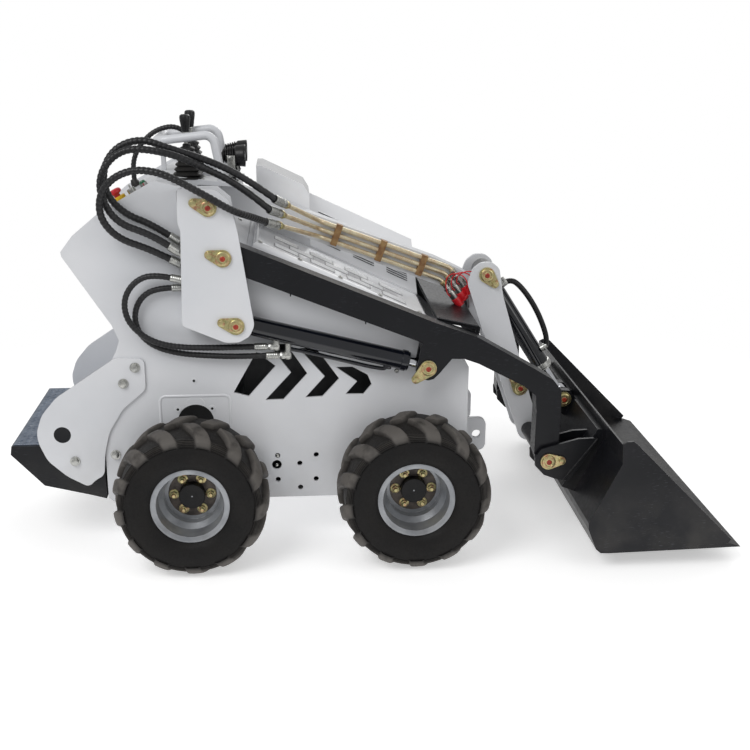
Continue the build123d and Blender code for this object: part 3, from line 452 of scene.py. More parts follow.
def nut(bm, origin, direction, radius, height, finish=0, turn=0.0):
    """A hexagon with its corners eased, as on a nut or a bolt head."""
    start = len(bm.faces)
    place = aimed(origin, direction) @ Matrix.Rotation(turn, 4, "Z") @ Matrix.Translation((0, 0, height / 2000))
    made = bmesh.ops.create_cone(bm, cap_ends=True, segments=6, radius1=radius / 1000, radius2=radius / 1000,
                                 depth=height / 1000, matrix=place)
    edges = list({edge for vert in made["verts"] for edge in vert.link_edges})
    bmesh.ops.bevel(bm, geom=edges, offset=radius / 9000, offset_type="OFFSET", segments=2, profile=0.5,
                    affect="EDGES", material=-1)
    mark(bm, start, finish)


def extrude(bm, faces, push):
    """Pull faces along a vector into a solid."""
    made = bmesh.ops.extrude_face_region(bm, geom=faces)
    moved = [item for item in made["geom"] if isinstance(item, bmesh.types.BMVert)]
    bmesh.ops.translate(bm, verts=moved, vec=push)


def prism(bm, outline, push, finish=0, bevel=0.0):
    """A closed outline pushed along a vector, its edges eased by bevel in mm."""
    start = len(bm.faces)
    face = bm.faces.new([bm.verts.new(point) for point in outline])
    extrude(bm, [face], push)
    if bevel:
        bm.faces.ensure_lookup_table()
        edges = list({edge for item in bm.faces[start:] for edge in item.edges})
        bmesh.ops.bevel(bm, geom=edges, offset=bevel / 1000, offset_type="OFFSET", segments=2, profile=0.5,
                        affect="EDGES", material=-1)
    mark(bm, start, finish)


def loft(bm, loops, finish=0):
    """Closed skin between loops of points that have the same count, with both ends capped."""
    start = len(bm.faces)
    rows = [[bm.verts.new(point) for point in loop] for loop in loops]
    count = len(rows[0])
    for low, high in zip(rows, rows[1:]):
        for i in range(count):
            j = (i + 1) % count
            bm.faces.new((low[i], low[j], high[j], high[i]))
    bm.faces.new(rows[0][::-1])
    bm.faces.new(rows[-1])
    mark(bm, start, finish)


def route_points(route, resolution=20):
    """Points of the smooth NURBS line with the route's points as its control points."""
    curve = bpy.data.curves.new("route", "CURVE")
    curve.dimensions = "3D"
    spline = curve.splines.new("NURBS")
    spline.points.add(len(route) - 1)
    for point, target in zip(spline.points, route):
        point.co = (*at(*target), 1.0)
    spline.order_u = 3
    spline.use_endpoint_u = True
    spline.resolution_u = resolution
    holder = bpy.data.objects.new("route", curve)
    mesh = bpy.data.meshes.new_from_object(holder)
    points = [vert.co.copy() for vert in mesh.vertices]
    bpy.data.objects.remove(holder)
    bpy.data.curves.remove(curve)
    bpy.data.meshes.remove(mesh)
    return points


def tube(bm, points, radius, finish=0, steps=16, groove=0.0, pitch=11.0, layer=None):
    """A round tube along points, with a helical groove for a spiral guard. Radius, groove and pitch in mm."""
    tangent = (points[1] - points[0]).normalized()
    across = tangent.orthogonal().normalized()
    run = 0.0
    loops, crowns = [], []
    for i, point in enumerate(points):
        ahead = points[min(i + 1, len(points) - 1)] - points[max(i - 1, 0)]
        ahead.normalize()
        across = (tangent.rotation_difference(ahead) @ across).normalized()
        tangent = ahead
        up = tangent.cross(across)
        if i:
            run += (point - points[i - 1]).length * 1000
        loop = []
        for k in range(steps):
            angle = 2 * math.pi * k / steps
            phase = (run / pitch + k / steps) % 1.0
            dip = math.exp(-((phase - 0.5) / 0.17) ** 2)
            crowns.append(1.0 - dip)
            reach = (radius - groove * dip) / 1000
            loop.append(point + (across * math.cos(angle) + up * math.sin(angle)) * reach)
        loops.append(loop)
    first = len(bm.verts)
    loft(bm, loops, finish)
    if layer:
        bm.verts.ensure_lookup_table()
        for vert, crown in zip(bm.verts[first:], crowns):
            vert[layer] = crown


def piece(name, bm, finishes, body, replaced=(), angle=32.0):
    """Turn the bmesh into a named piece that rides on a body. Without a body it is left free for a blend."""
    bmesh.ops.remove_doubles(bm, verts=bm.verts, dist=1e-6)
    bmesh.ops.recalc_face_normals(bm, faces=bm.faces)
    mesh = bpy.data.meshes.new(name)
    bm.to_mesh(mesh)
    bm.free()
    for finish in finishes:
        mesh.materials.append(bpy.data.materials[finish])
    mesh.shade_smooth()
    mesh.set_sharp_from_angle(angle=math.radians(angle))
    thing = bpy.data.objects.new(name, mesh)
    bpy.context.scene.collection.objects.link(thing)
    if body:
        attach(thing, body)
    if replaced:
        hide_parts(*replaced)
    return thing


# Wheels


STUDS, STUD_CIRCLE_R = 6, 0.054
TYRE_SIDE = [(83.4, 104), (84, 113.5), (91, 114.5), (99, 121), (104.5, 131), (107, 144), (107.6, 158), (107, 170),
             (105.6, 178), (105.8, 182), (104.8, 185.5), (102.6, 186), (102.4, 188)]
TYRE_RIBS = [(101.6, 190), (98.9, 194.5), (95.9, 198.4), (92.4, 201.8), (88.2, 204.6)]
# Lugs: half width of the tread, radius that turns mm into an angle, mm swept from shoulder to middle,
# (out, radius) along a lug, and its section as (share of the half width, mm under the top, None at the base)
TREAD_HALF_W, LUG_REACH, LUG_SWEEP = 107.0, 228.0, 60.0
CROWN_R, SHOULDER_OUT = 210.6, 85.0
LUG_SECTION = [(-1.32, None), (-1.06, 3.2), (-0.9, 0.6), (-0.4, 0), (0.4, 0), (0.9, 0.6), (1.06, 3.2), (1.32, None)]
LUG_STATIONS = [(4, 225.6), (7, 227.2), (24, 228.2), (46, 227.4), (62, 225.0), (78, 219.6), (89, 213.6),
                (97, 206.0), (103.6, 196.5), (106.4, 188.5), (101.0, 186.5)]


def tyre_profile():
    """Half section of the carcass from the bead to the crown, as (out, radius), with fine ribs at the shoulder."""
    line = list(TYRE_SIDE)
    for out, radius in TYRE_RIBS:
        line += [(out, radius - 1.4), (out + 2.6, radius + 0.2), (out + 2.2, radius + 2.0),
                 (out - 1.8, radius + 1.4)]
    return line + [(80, 207.4), (50, 209.6), (20, CROWN_R)]


def build_tyres():
    """Lugged tyres: hooked lugs on a ribbed carcass, with the lugs' tops marked as soiled."""
    half = tyre_profile()
    section = [(-out, radius) for out, radius in half] + [(out, radius) for out, radius in half[::-1]]
    section += [(83.4, 104), (60, 101), (-60, 101), (-83.4, 104)]
    lugs = settings().lug_count
    turn = 2 * math.pi / lugs
    for place, wheel_x, side in WHEELS:
        bm = bmesh.new()
        bm.verts.layers.float.new("soil_and_highlight")
        centre = at(wheel_x, side * TYRE_MID_Y, AXLE_Z)
        lathe(bm, centre, LEFT * side, section, steps=120)
        for row in (-1, 1):
            for step in range(lugs):
                start = turn * (step + (0.5 if row > 0 else 0.0))
                loops = []
                for out, radius in LUG_STATIONS:
                    inward = (1 - out / TREAD_HALF_W) ** 1.35
                    sweep = start + side * LUG_SWEEP * inward / LUG_REACH
                    wide = (19.0 + 3.5 * (1 - inward) - (2.5 if out < 6 else 0)) / LUG_REACH
                    base = min(radius - 3, 205.0 if out < 86 else max(radius - 9, 184.5))
                    loop = []
                    for across, under in LUG_SECTION:
                        angle = sweep + wide * across
                        height = base if under is None else radius - under
                        loop.append(at(wheel_x + height * math.sin(angle), side * (TYRE_MID_Y + row * out),
                                       AXLE_Z + height * math.cos(angle)))
                    loops.append(loop)
                loft(bm, loops)
        thing = piece("tyre_look_" + place, bm, ["moulded_tyre_rubber"], "wheel_" + place, ["tyre_" + place],
                      angle=28.0)
        # Dried soil and painted highlight: lighter with a lug's height over the crown, and a little everywhere
        # beyond 188 mm
        values = []
        for vert in thing.data.vertices:
            reach = math.hypot(vert.co.x - centre.x, vert.co.z - centre.z) * 1000
            out = abs(vert.co.y - centre.y) * 1000
            crown = CROWN_R - 4.0 * min(out / SHOULDER_OUT, 1.0) - max(out - SHOULDER_OUT, 0) * 0.95
            values.append(min(max((reach - crown - 3) / 6, 0.12 if reach > 188 else 0.0), 1.0))
        thing.data.attributes["soil_and_highlight"].data.foreach_set("value", values)


def build_wheel_hardware():
    """Hub face, hub cap, six nuts on studs, and a tyre valve on each wheel."""
    for place, wheel_x, side in WHEELS:
        bm = bmesh.new()
        out = LEFT * side

        def hub(run):
            """The point on the wheel's axis at a run in mm outside the tyre's middle."""
            return at(wheel_x, side * (TYRE_MID_Y + run), AXLE_Z)

        lathe(bm, hub(-8), out, [(0, 38), (0.8, 38), (0.8, 70), (0, 71)], 1, 48)
        lathe(bm, hub(-8), out, [(0, 38.5), (22.5, 38.5), (25, 36.5), (25, 3), (23.5, 2), (23.5, 0)], 2, 48)
        for k in range(STUDS):
            angle = 2 * math.pi / STUDS * k
            spot = hub(-7.4) + Vector((STUD_CIRCLE_R * math.cos(angle), 0, STUD_CIRCLE_R * math.sin(angle)))
            lathe(bm, spot, out, [(0, 15.5), (2.2, 15.5), (2.8, 14.5), (2.8, 6)], 0, 24)
            nut(bm, spot + out * 0.0027, out, 10.8, 10, 0, angle)
            lathe(bm, spot, out, [(13, 6.8), (19, 6.4), (20.5, 5), (20.5, 0)], 0, 16)
        valve = hub(-7) + Vector((0, 0, 0.078))
        lathe(bm, valve, out, [(0, 6), (4, 6), (6, 4.2), (30, 4.2), (31, 5), (40, 5), (41, 4), (41, 0)], 2, 16)
        piece("wheel_hardware_" + place, bm, ["yellow_zinc_plate", "forged_steel_hub", "cast_iron_black"],
              "wheel_" + place)


# Hydraulics


def fitting(bm, tip, direction, scale=1.0, second=True):
    """Crimped ferrule, nut and stem of a hose end. The hose comes in against the direction."""
    crimp = [(-7, 11.6), (-6, 12.7)]
    for k in range(6):
        crimp += [(-4 + k * 5.2, 12.7), (-3 + k * 5.2, 13.3), (-1 + k * 5.2, 13.3), (0 + k * 5.2, 12.7)]
    crimp += [(29, 12.2), (30, 9.6), (36, 9.4)]
    lathe(bm, tip, direction, [(run, radius * scale) for run, radius in crimp], 0, 24)
    nut(bm, tip + direction * 0.034, direction, 14 * scale, 16, 0, 0.4)
    lathe(bm, tip, direction, [(50, 9 * scale), (53, 9 * scale)], 0, 20)
    if second:
        nut(bm, tip + direction * 0.053, direction, 12.6 * scale, 12, 1, 0.1)
        lathe(bm, tip, direction, [(64, 11 * scale), (67, 9.5 * scale), (72, 8.4 * scale), (72, 6)], 1, 20)


def hose(name, route, diameter, body):
    """One spiral guarded hose along its route."""
    bm = bmesh.new()
    crown = bm.verts.layers.float.new("crown")
    points = route_points(route, 24)
    tube(bm, points, diameter / 2, steps=18, groove=diameter * 0.075, pitch=diameter * 0.62, layer=crown)
    return piece(name, bm, ["wrapped_hose_rubber"], body, angle=60.0)


def build_hoses():
    """Eight guarded hoses with crimped ends. Those that reach a moving part bend with it."""
    wide = settings().hose_diameter * 1000
    thin = wide * 18 / 21
    tower, link = bmesh.new(), bmesh.new()
    for number, route in enumerate(LINK_HOSES):
        thing = hose("upper_hose_" + "abc"[number], route, wide, None)
        # The third hose passes outside the tower and crosses the arm before it turns inwards
        if number < 2:
            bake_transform(thing)
        else:
            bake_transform(thing)
        way = (at(*route[1]) - at(*route[0])).normalized()
        fitting(tower, at(*route[0]), -way, second=False)
        way = (at(*PIPE_STARTS[number]) - at(*route[-1])).normalized()
        fitting(link, at(*route[-1]), way)
    for side, place in ((-1, "right"), (1, "left")):
        barrel = bmesh.new()
        for number, route in enumerate(LIFT_HOSES):
            turned = [(x, side * y, z) for x, y, z in route]
            thing = hose("lift_hose_%s_%s" % (place, "ab"[number]), turned, thin, None)
            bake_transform(thing)
            way = (at(*turned[1]) - at(*turned[0])).normalized()
            fitting(tower, at(*turned[0]), -way, 0.88, False)
            tip = at(*turned[-1])
            fitting(barrel, tip, FORWARD, 0.84, False)
            port_x, low, high = LIFT_PORTS[number]
            elbow = at(port_x, side * ARM_MID_Y, low)
            lathe(barrel, elbow - FORWARD * 0.012, FORWARD,
                  [(0, 0), (0, 9), (1, 10), (18, 10), (20, 9), (20, 0)], 0, 20)
            lathe(barrel, elbow, UP,
                  [(-11, 0), (-11, 8), (-10, 9.4), (high - low - 14, 9.4), (high - low - 12, 12.5),
                   (high - low, 12.5)], 0, 20)
        points = route_points([(x, side * (ARM_MID_Y if x < 310 else ARM_MID_Y - 2), z) for x, z in LIFT_TUBE], 12)
        tube(barrel, points, 6.0, 1, 12)
        aim = line_way(LIFT_BASE, LIFT_EYE)
        down = -square_to(aim)
        lathe(barrel, along(LIFT_BASE, aim, 466, side * ARM_MID_Y) + down * 0.026, down,
              [(0, 13), (8, 13), (9, 12), (9, 0)], 1, 20)
        # Gland and wiper ring at the open end, weld at the eye's end
        lathe(barrel, along(LIFT_BASE, aim, 500, side * ARM_MID_Y), aim,
              [(0, 29.2), (1, 32), (16, 32), (17, 30.5), (17, 29), (23, 29), (24, 27), (24, 17)], 1, 40)
        lathe(barrel, along(LIFT_BASE, aim, 36, side * ARM_MID_Y), aim,
              [(-4, 29.1), (-1, 31.5), (3, 32), (6, 29.1)], 1, 40)
        piece("lift_fittings_" + place, barrel, ["bright_zinc_plate", "gloss_enamel_cylinder"],
              "lift_barrel_" + place)
    piece("tower_hose_ends", tower, ["bright_zinc_plate"], "chassis")
    piece("link_hose_ends", link, ["bright_zinc_plate", "yellow_zinc_plate"], "levelling_link")
    hose("console_hose", COWL_HOSE, 16.0, "chassis")
    bm = bmesh.new()
    lathe(bm, at(*COWL_HOSE[0]) - COWL_OUT * 0.012, COWL_OUT,
          [(0, 16), (5, 16), (6, 14), (12, 13.5), (20, 10), (24, 8.2)], 0, 28)
    lathe(bm, at(*COWL_HOSE[-1]), UP, [(0, 15), (4, 15), (6, 12), (18, 10), (20, 8.2)], 0, 28)
    piece("console_hose_grommets", bm, ["moulded_boot_rubber"], "chassis")


def build_tilt_fittings():
    """Hose, ports, gland and weld of the tilt cylinder."""
    bm = bmesh.new()
    aim = line_way(TILT_EYE, TILT_ROD_EYE)
    out = square_to(aim)
    route = [in_mm(along(TILT_EYE, aim, run, -13) + out * rise / 1000) for run, rise in TILT_HOSE]
    tube(bm, route_points(route, 12), 9.0, 2, 16)
    far = along(TILT_EYE, aim, TILT_HOSE[-1][0], -13)
    lathe(bm, far + out * 0.024, out, [(0, 12), (14, 12), (16, 10.4), (24, 10.4), (24, 0)], 1, 20)
    nut(bm, far + out * 0.03, out, 12, 9, 1)
    for y in (-12, 12):
        port = along(TILT_EYE, aim, TILT_HOSE[0][0], y)
        lathe(bm, port + out * 0.024, out, [(0, 12.5), (9, 12.5), (11, 10.5), (22, 10.5), (22, 0)], 1, 20)
        nut(bm, port + out * 0.034, out, 13, 10, 1)
    lathe(bm, along(TILT_EYE, aim, 372), aim,
          [(0, 29.2), (1, 32.5), (16, 32.5), (18, 31), (18, 29), (24, 29), (25, 26), (25, 16)], 1, 40)
    lathe(bm, along(TILT_EYE, aim, 34), aim, [(-4, 29.1), (-1, 31.6), (3, 32), (6, 29.1)], 0, 40)
    piece("tilt_fittings", bm, ["gloss_enamel_cylinder", "bright_zinc_plate", "wrapped_hose_rubber"],
          "tilt_barrel")


def build_couplers():
    """Quick coupler sleeves, red dust caps and their red lanyards."""
    sleeves, caps = bmesh.new(), bmesh.new()
    tail = PIPE_TAIL.normalized()
    for number, depth in enumerate(PIPE_DEPTHS):
        start = at(815 - 0.611 * depth, PIPE_Y, 827.7 - 0.842 * depth) + tail * 0.035
        lathe(sleeves, start, tail, [(-14, 7.2), (-13, 9.5), (-4, 9.5), (-3, 12.4), (4, 13.2), (8, 12.2), (9, 13.2),
                                     (13, 12.2), (14, 13.2), (44, 13.2), (46, 12.3), (50, 12.3)], 0, 28)
        nut(sleeves, start - tail * 0.026, tail, 11.5, 12, 1, 0.2)
        lathe(caps, start, tail, [(42, 13.4), (43, 15.2), (70, 15.2), (73, 13.6), (74, 9), (74, 0)], 0, 28)
        # Each lanyard loops up from its cap and back, the next one higher
        x, y, z = in_mm(start + tail * 0.05)
        lift = 42 + 16 * number
        loop = ((10, -12, -8), (34, -24, 6), (42 - 6 * number, -30, lift), (8 - 8 * number, -30, lift + 22),
                (-30 - 6 * number, -24, lift + 6), (-34, -16, 18), (-22, -11, 14))
        tube(caps, route_points([(x + a, y + b, z + c) for a, b, c in loop], 10), 1.9, 0, 8)
    piece("coupler_sleeves", sleeves, ["bright_zinc_plate", "yellow_zinc_plate"], "levelling_link")
    piece("coupler_caps", caps, ["moulded_red_plastic"], "levelling_link")


# Pins, bolts and welds


def build_keepers():
    """Bolt heads with washers, raised rings and orange grease caps on every keeper plate."""
    made = {}
    for pin, bolt, face, body in KEEPERS:
        bm = made.setdefault(body, bmesh.new())
        for side in (-1, 1):
            out = LEFT * side
            ring = at(pin[0], side * (face + KEEPER_T), pin[1])
            lathe(bm, ring, out, [(0, 21.5), (1.5, 21.5), (4, 20.3), (5.6, 17.5), (5.6, 14), (3.8, 12.4)], 0, 40)
            lathe(bm, ring, out, [(3.6, 12.6), (4.2, 9.0), (4.4, 7.6)], 0, 28)
            lathe(bm, ring, out, [(3.6, 8), (6.2, 7.8), (6.9, 6.6), (6.9, 3.4), (5.4, 3), (5.4, 0)], 1, 28)
            head = at(bolt[0], side * (face + KEEPER_T), bolt[1])
            lathe(bm, head, out, [(0, 12.6), (1.6, 12.6), (2, 12.2), (2, 0)], 0, 28)
            nut(bm, head + out * 0.0019, out, 10.4, 7, 0, 0.3 + pin[0])
    for body, bm in made.items():
        piece("keeper_hardware_" + body, bm, ["yellow_zinc_plate", "moulded_orange_cap"], body)


def build_bolts():
    """Hex bolts on the rear side plates, small studs on the side plates and screws along the hood."""
    bm = bmesh.new()
    for side in (-1, 1):
        out = LEFT * side
        for x, z, face in ((-202, 531, REAR_PLATE_OUT_Y), (-361, 287, REAR_PLATE_OUT_Y),
                           (-165, 580, REAR_PLATE_OUT_Y), (-240, 302, CHASSIS_OUT_Y)):
            spot = at(x, side * face, z)
            lathe(bm, spot, out, [(0, 15.5), (2.6, 15.5), (3.2, 15), (3.2, 0)], 0, 32)
            nut(bm, spot + out * 0.003, out, 11.6, 8.6, 0, 0.2 + x)
        for x, z in ((251, 286), (248, 256), (617, 553)):
            lathe(bm, at(x, side * CHASSIS_OUT_Y, z), out, [(0, 5), (2.2, 4.8), (3.4, 3), (3.6, 0)], 0, 20)
    piece("plate_bolts", bm, ["bright_zinc_plate"], "chassis")
    bm = bmesh.new()
    slope = line_way(DECK_START, DECK_END)
    up = square_to(slope)
    for x in (214, 330, 450, 570, 690):
        for y in (-236, 236):
            lathe(bm, at(x, y, deck_z(x) + HOOD_T) - up * 0.0006, up,
                  [(0, 8), (1.4, 8), (1.8, 6), (4, 4.6), (4.6, 2), (4.6, 0)], 0, 20)
    piece("hood_screws", bm, ["bright_zinc_plate"], "chassis")


BEAD_STEP, BEAD_RIPPLE = 0.0022, 0.0058


def bead(bm, points, radius):
    """A weld bead: a low rippled ridge along a line of points. Radius in mm."""
    run = 0.0
    for start, end in zip(points, points[1:]):
        length = (end - start).length
        count = max(int(length / BEAD_STEP), 1)
        way = (end - start) / length
        side = way.orthogonal().normalized()
        up = way.cross(side)
        loops = []
        for k in range(count):
            run += length / count
            reach = radius / 1000 * (1 + 0.16 * math.sin(run * 2 * math.pi / BEAD_RIPPLE))
            spot = start + way * (length * k / count)
            loops.append([spot + (side * math.cos(a) + up * math.sin(a)) * reach
                          for a in [math.pi / 4 * n for n in range(8)]])
        loft(bm, loops)


def build_welds():
    """Weld beads on the towers, the arms, the bucket's sides and the hitch ears, and hose guides on the arms."""
    bm = bmesh.new()
    for side in (-1, 1):
        for y, low, high in ((356, (-10, 724), (-8, 820)), (356, (-9, 1019), (-8, 1109)),
                             (286.5, (-6, 724), (-4, 820))):
            bead(bm, [at(low[0], side * y, low[1]), at(high[0], side * y, high[1])], 3.0)
    piece("tower_welds", bm, ["powder_coat_white"], "chassis")
    bm = bmesh.new()
    for side in (-1, 1):
        bead(bm, [at(740, side * 291, 716), at(866, side * 291, 687)], 3.4)
        bead(bm, [at(866, side * 291, 687), at(857, side * 291, 628)], 3.4)
        lathe(bm, at(HITCH_PIN[0], side * 289.5, HITCH_PIN[1]), LEFT * side,
              [(-4, 25), (-2.6, 27.6), (0, 29), (1.6, 29), (1.6, 24)], 0, 40)
        # Small hose guides under the arm
        for x in (300, 520):
            low = 859 - (x - 176) * 0.396
            lathe(bm, at(x, side * ARM_MID_Y, low - 6), FORWARD,
                  [(-2, 5.4), (-1.4, 7.6), (0, 8.4), (1.4, 7.6), (2, 5.4), (1.4, 3.6), (0, 3.0), (-1.4, 3.6),
                   (-2, 5.4)], 0, 20)
    piece("arm_welds", bm, ["satin_paint_black"], "boom")
    bm = bmesh.new()
    path = [(1500, 68), (1230, 62), (1208, 63), (1195, 74), (1170, 134), (1169, 155), (1258, 339), (1254, 398)]
    for side in (-1, 1):
        bead(bm, [at(x, side * 551, z) for x, z in path], 3.6)
        for face in (290, 280, 366, 356):
            bead(bm, [at(1129, side * face, 214), at(1231, side * face, 349)], 3.2)
    piece("bucket_welds", bm, ["worn_paint_bucket"], "bucket")


# Body details


def build_louvres():
    """Pressed louvres in groups on the hood and on the raised cover: a dark slit under each raised lip."""
    lips, slit_shade = bmesh.new(), bmesh.new()
    slope = line_way(DECK_START, DECK_END)
    up = square_to(slope)
    top = at(190, 0, deck_z(190) + HOOD_T)

    def louvre(spot, side, high, length):
        """One slit and its lip at a spot, open towards side, raised along high."""
        ends = [spot - slope * length / 2, spot + slope * length / 2]
        # Dark box that paints the shade inside the slit
        prism(slit_shade, [ends[0] - side * 0.0026, ends[1] - side * 0.0026, ends[1] + side * 0.0004,
                      ends[0] + side * 0.0004], high * 0.0005)
        loops = []
        for share in (0.0, 0.03, 0.08, 0.92, 0.97, 1.0):
            mid = ends[0].lerp(ends[1], share)
            rise = 0.0001 if share in (0.0, 1.0) else (0.0017 if share in (0.03, 0.97) else 0.0026)
            loops.append([mid, mid + high * rise * 0.9, mid + side * 0.0012 + high * rise,
                          mid + side * 0.0034 + high * rise * 0.6, mid + side * 0.0052])
        loft(lips, loops)

    for run, y in HOOD_LOUVRES:
        for k in range(LOUVRES_IN_GROUP):
            spot = top + slope * run / 1000 + LEFT * (y + LOUVRE_START + LOUVRE_PITCH * k) / 1000 + up * 0.0002
            louvre(spot, LEFT, up, 0.08)
    # The cover rises 142 mm from y = 45 over a width of 200 mm
    cover_side = Vector((0, 0.2, 0.142)).normalized()
    cover_up = slope.cross(cover_side).normalized()
    for x, middle in COVER_LOUVRES:
        for k in range(LOUVRES_IN_GROUP):
            y = middle + LOUVRE_START + LOUVRE_PITCH * k
            rise = (y - 45) / 200 * 142
            spot = at(x, y, deck_z(x) + HOOD_T + 6 + rise) + cover_up * 0.0004
            louvre(spot, cover_side, cover_up, 0.075)
    piece("louvre_lips", lips, ["gloss_paint_hood_painted_light"], "chassis")
    piece("louvre_slit_shade", slit_shade, ["painted_shade_dark"], "chassis")


def build_tread():
    """Raised lozenges in alternate directions over the platform's tread sheet."""
    bm = bmesh.new()
    pitch = settings().lozenge_pitch * 1000
    columns, rows = (int(size / pitch) for size in TREAD_SIZE)
    for i in range(columns):
        for j in range(rows):
            x = TREAD_CORNER[0] + pitch * (i + 0.5) + 2
            y = TREAD_CORNER[1] + pitch * (j + 0.5)
            way = Vector((1, 1, 0)) if (i + j) % 2 else Vector((1, -1, 0))
            way.normalize()
            side = Vector((-way.y, way.x, 0))
            loops = []
            for lift, grow in ((0.0, 1.0), (0.0011, 0.78), (0.0016, 0.5)):
                spot = at(x, y, TREAD_TOP_Z) + Vector((0, 0, lift))
                long, wide = (half * grow for half in LOZENGE_HALF)
                loops.append([spot + way * long * a + side * wide * b for a, b in
                              ((1, 0), (0.55, 0.75), (0, 1), (-0.55, 0.75), (-1, 0), (-0.55, -0.75), (0, -1),
                               (0.55, -0.75))])
            loft(bm, loops)
    piece("tread_lozenges", bm, ["rolled_aluminium_tread"], "chassis")


SQUARE_STEPS = 32


def squared(y, z, half, corner=0.32):
    """A rounded square loop about a boot's vertical axis. Corner 1 makes a circle."""
    loop = []
    for k in range(SQUARE_STEPS):
        angle = 2 * math.pi * k / SQUARE_STEPS
        c, s = math.cos(angle), math.sin(angle)
        reach = half / (abs(c) ** (2 / corner) + abs(s) ** (2 / corner)) ** (corner / 2)
        loop.append(at(reach * c - 1, y + reach * s, z))
    return loop


def build_controls():
    """Pleated boots, levers with grips, emergency stop, key switch, lamp and console screws."""
    boots, levers = bmesh.new(), bmesh.new()
    for y in (-LEVER_PAIR_Y, LEVER_PAIR_Y):
        loops = [squared(y, z, 45) for z in (1112, 1117)]
        for k in range(BOOT_PLEATS):
            half = 42.5 - 23.0 * (k / BOOT_PLEATS)
            low = 1118 + 14.6 * k
            for rise, grow in ((0, 0.84), (2.4, 0.88), (5.6, 1.0), (8.0, 1.0), (11.2, 0.86)):
                loops.append(squared(y, low + rise, half * grow))
        loops += [squared(y, z, radius, 1.0) for z, radius in ((1206, 13), (1212, 12), (1214, 9))]
        loft(boots, loops)
        foot = at(-3, y, 1206)
        lathe(levers, foot, UP, [(0, 6), (44, 6), (45, 9), (50, 9)], 1, 20)
        lathe(levers, foot, UP,
              [(42, 0), (42, 9), (44, 11), (52, 12.4), (60, 13.2), (74, 15.6), (84, 16.4), (90, 15), (93, 11),
               (94, 0)], 0, 28)
        nut(levers, at(-3, y, 1243), UP, 9.5, 6, 1)
    piece("pleated_boots", boots, ["moulded_boot_rubber"], "chassis", ["lever_boots"], angle=50.0)
    piece("lever_grips", levers, ["moulded_black_plastic", "bright_zinc_plate"], "chassis", ["drive_levers"])
    bm = bmesh.new()
    stop = at(-189, PANEL_Y, 1061)
    lathe(bm, stop, COWL_OUT, [(-6, 23), (3, 23), (5, 21.5), (13, 21.5), (15, 19.5), (15, 9)], 1, 36)
    lathe(bm, stop, COWL_OUT, [(14, 9.5), (22, 9.5), (23, 15), (26, 18.6), (30, 19.4), (35, 18), (38, 13), (39, 6),
                               (38.6, 0)], 0, 36)
    key = at(-150, PANEL_Y, 1082)
    lathe(bm, key, COWL_OUT, [(-6, 14), (3, 14), (4, 12.4), (17, 12.4), (18, 11), (18, 3), (16, 2), (16, 0)], 2, 28)
    prism(bm, [key + COWL_OUT * run + LEFT * wide
               for run, wide in ((0.017, 0.008), (0.017, -0.008), (0.03, -0.007), (0.03, 0.007))],
          Vector((0.0024, 0, 0.0013)), 2, 0.5)
    light = at(-115, PANEL_Y, 1101)
    lathe(bm, light, COWL_OUT, [(-6, 12.6), (3, 12.6), (4, 11), (14, 11), (14, 9.5)], 2, 28)
    lathe(bm, light, COWL_OUT, [(12, 9.6), (18, 9.4), (21, 7.5), (22.4, 4), (22.6, 0)], 3, 28)
    piece("panel_controls", bm, ["moulded_red_plastic", "moulded_yellow_plastic", "bright_zinc_plate",
                                 "moulded_green_lens"], "chassis")
    bm = bmesh.new()
    for y in (-118, -58, 58, 118):
        for x in (44, 146):
            lathe(bm, at(x, y, 1114 - (x - 28) * 17 / 132), Vector((0.128, 0, 0.992)),
                  [(0, 7), (1.2, 7), (3.4, 4.4), (3.8, 0)], 0, 20)
    piece("console_screws", bm, ["bright_zinc_plate"], "chassis")


def build_lamps():
    """Round work lamps with cooling fins, rim, reflector and lens on bent brackets."""
    shells, lenses = bmesh.new(), bmesh.new()
    for y in (-LAMP_PAIR_Y, LAMP_PAIR_Y):
        back = at(100, y, 1176)
        profile = [(0, 0), (0, 10), (2, 12)]
        for k in range(5):
            profile += [(4 + k * 7, 17 + k * 1.6), (5 + k * 7, 21 + k * 1.7), (8 + k * 7, 21 + k * 1.7),
                        (9 + k * 7, 17 + k * 1.6)]
        profile += [(40, 27), (44, 30.5), (64, 32.4), (70, 33), (72, 32.4), (72, 29.6), (69, 29)]
        lathe(shells, back, FORWARD, profile, 0, 44)
        lathe(lenses, back, FORWARD, [(68.4, 29.2), (70, 24), (71.2, 14), (71.6, 0)], 0, 44)
        lathe(lenses, back, FORWARD, [(68, 29), (58, 24), (50, 14), (47, 5), (46, 0)], 1, 44)
        for side in (-1, 1):
            arm = [at(x, y + side * 34, z) for x, z in LAMP_ARM]
            prism(shells, arm, Vector((0, side * 0.003, 0)), 1, 0.6)
            lathe(shells, at(130, y + side * 37, 1170), LEFT * side, [(0, 8), (1.6, 8), (2, 7)], 1, 20)
            nut(shells, at(130, y + side * 38.5, 1170), LEFT * side, 6.5, 4.5, 1)
        prism(shells, [at(120, y - 37, 1118), at(150, y - 37, 1118), at(150, y + 37, 1118), at(120, y + 37, 1118)],
              Vector((0, 0, -0.003)), 1, 0.6)
        lathe(shells, at(136, y, 1098), UP, [(0, 9), (4, 9), (5, 7), (20, 7)], 1, 20)
    piece("lamp_shells", shells, ["moulded_black_plastic", "bright_zinc_plate"], "chassis", ["work_lamps"])
    piece("lamp_lenses", lenses, ["lamp_glass", "vacuum_coated_reflector"], "chassis")


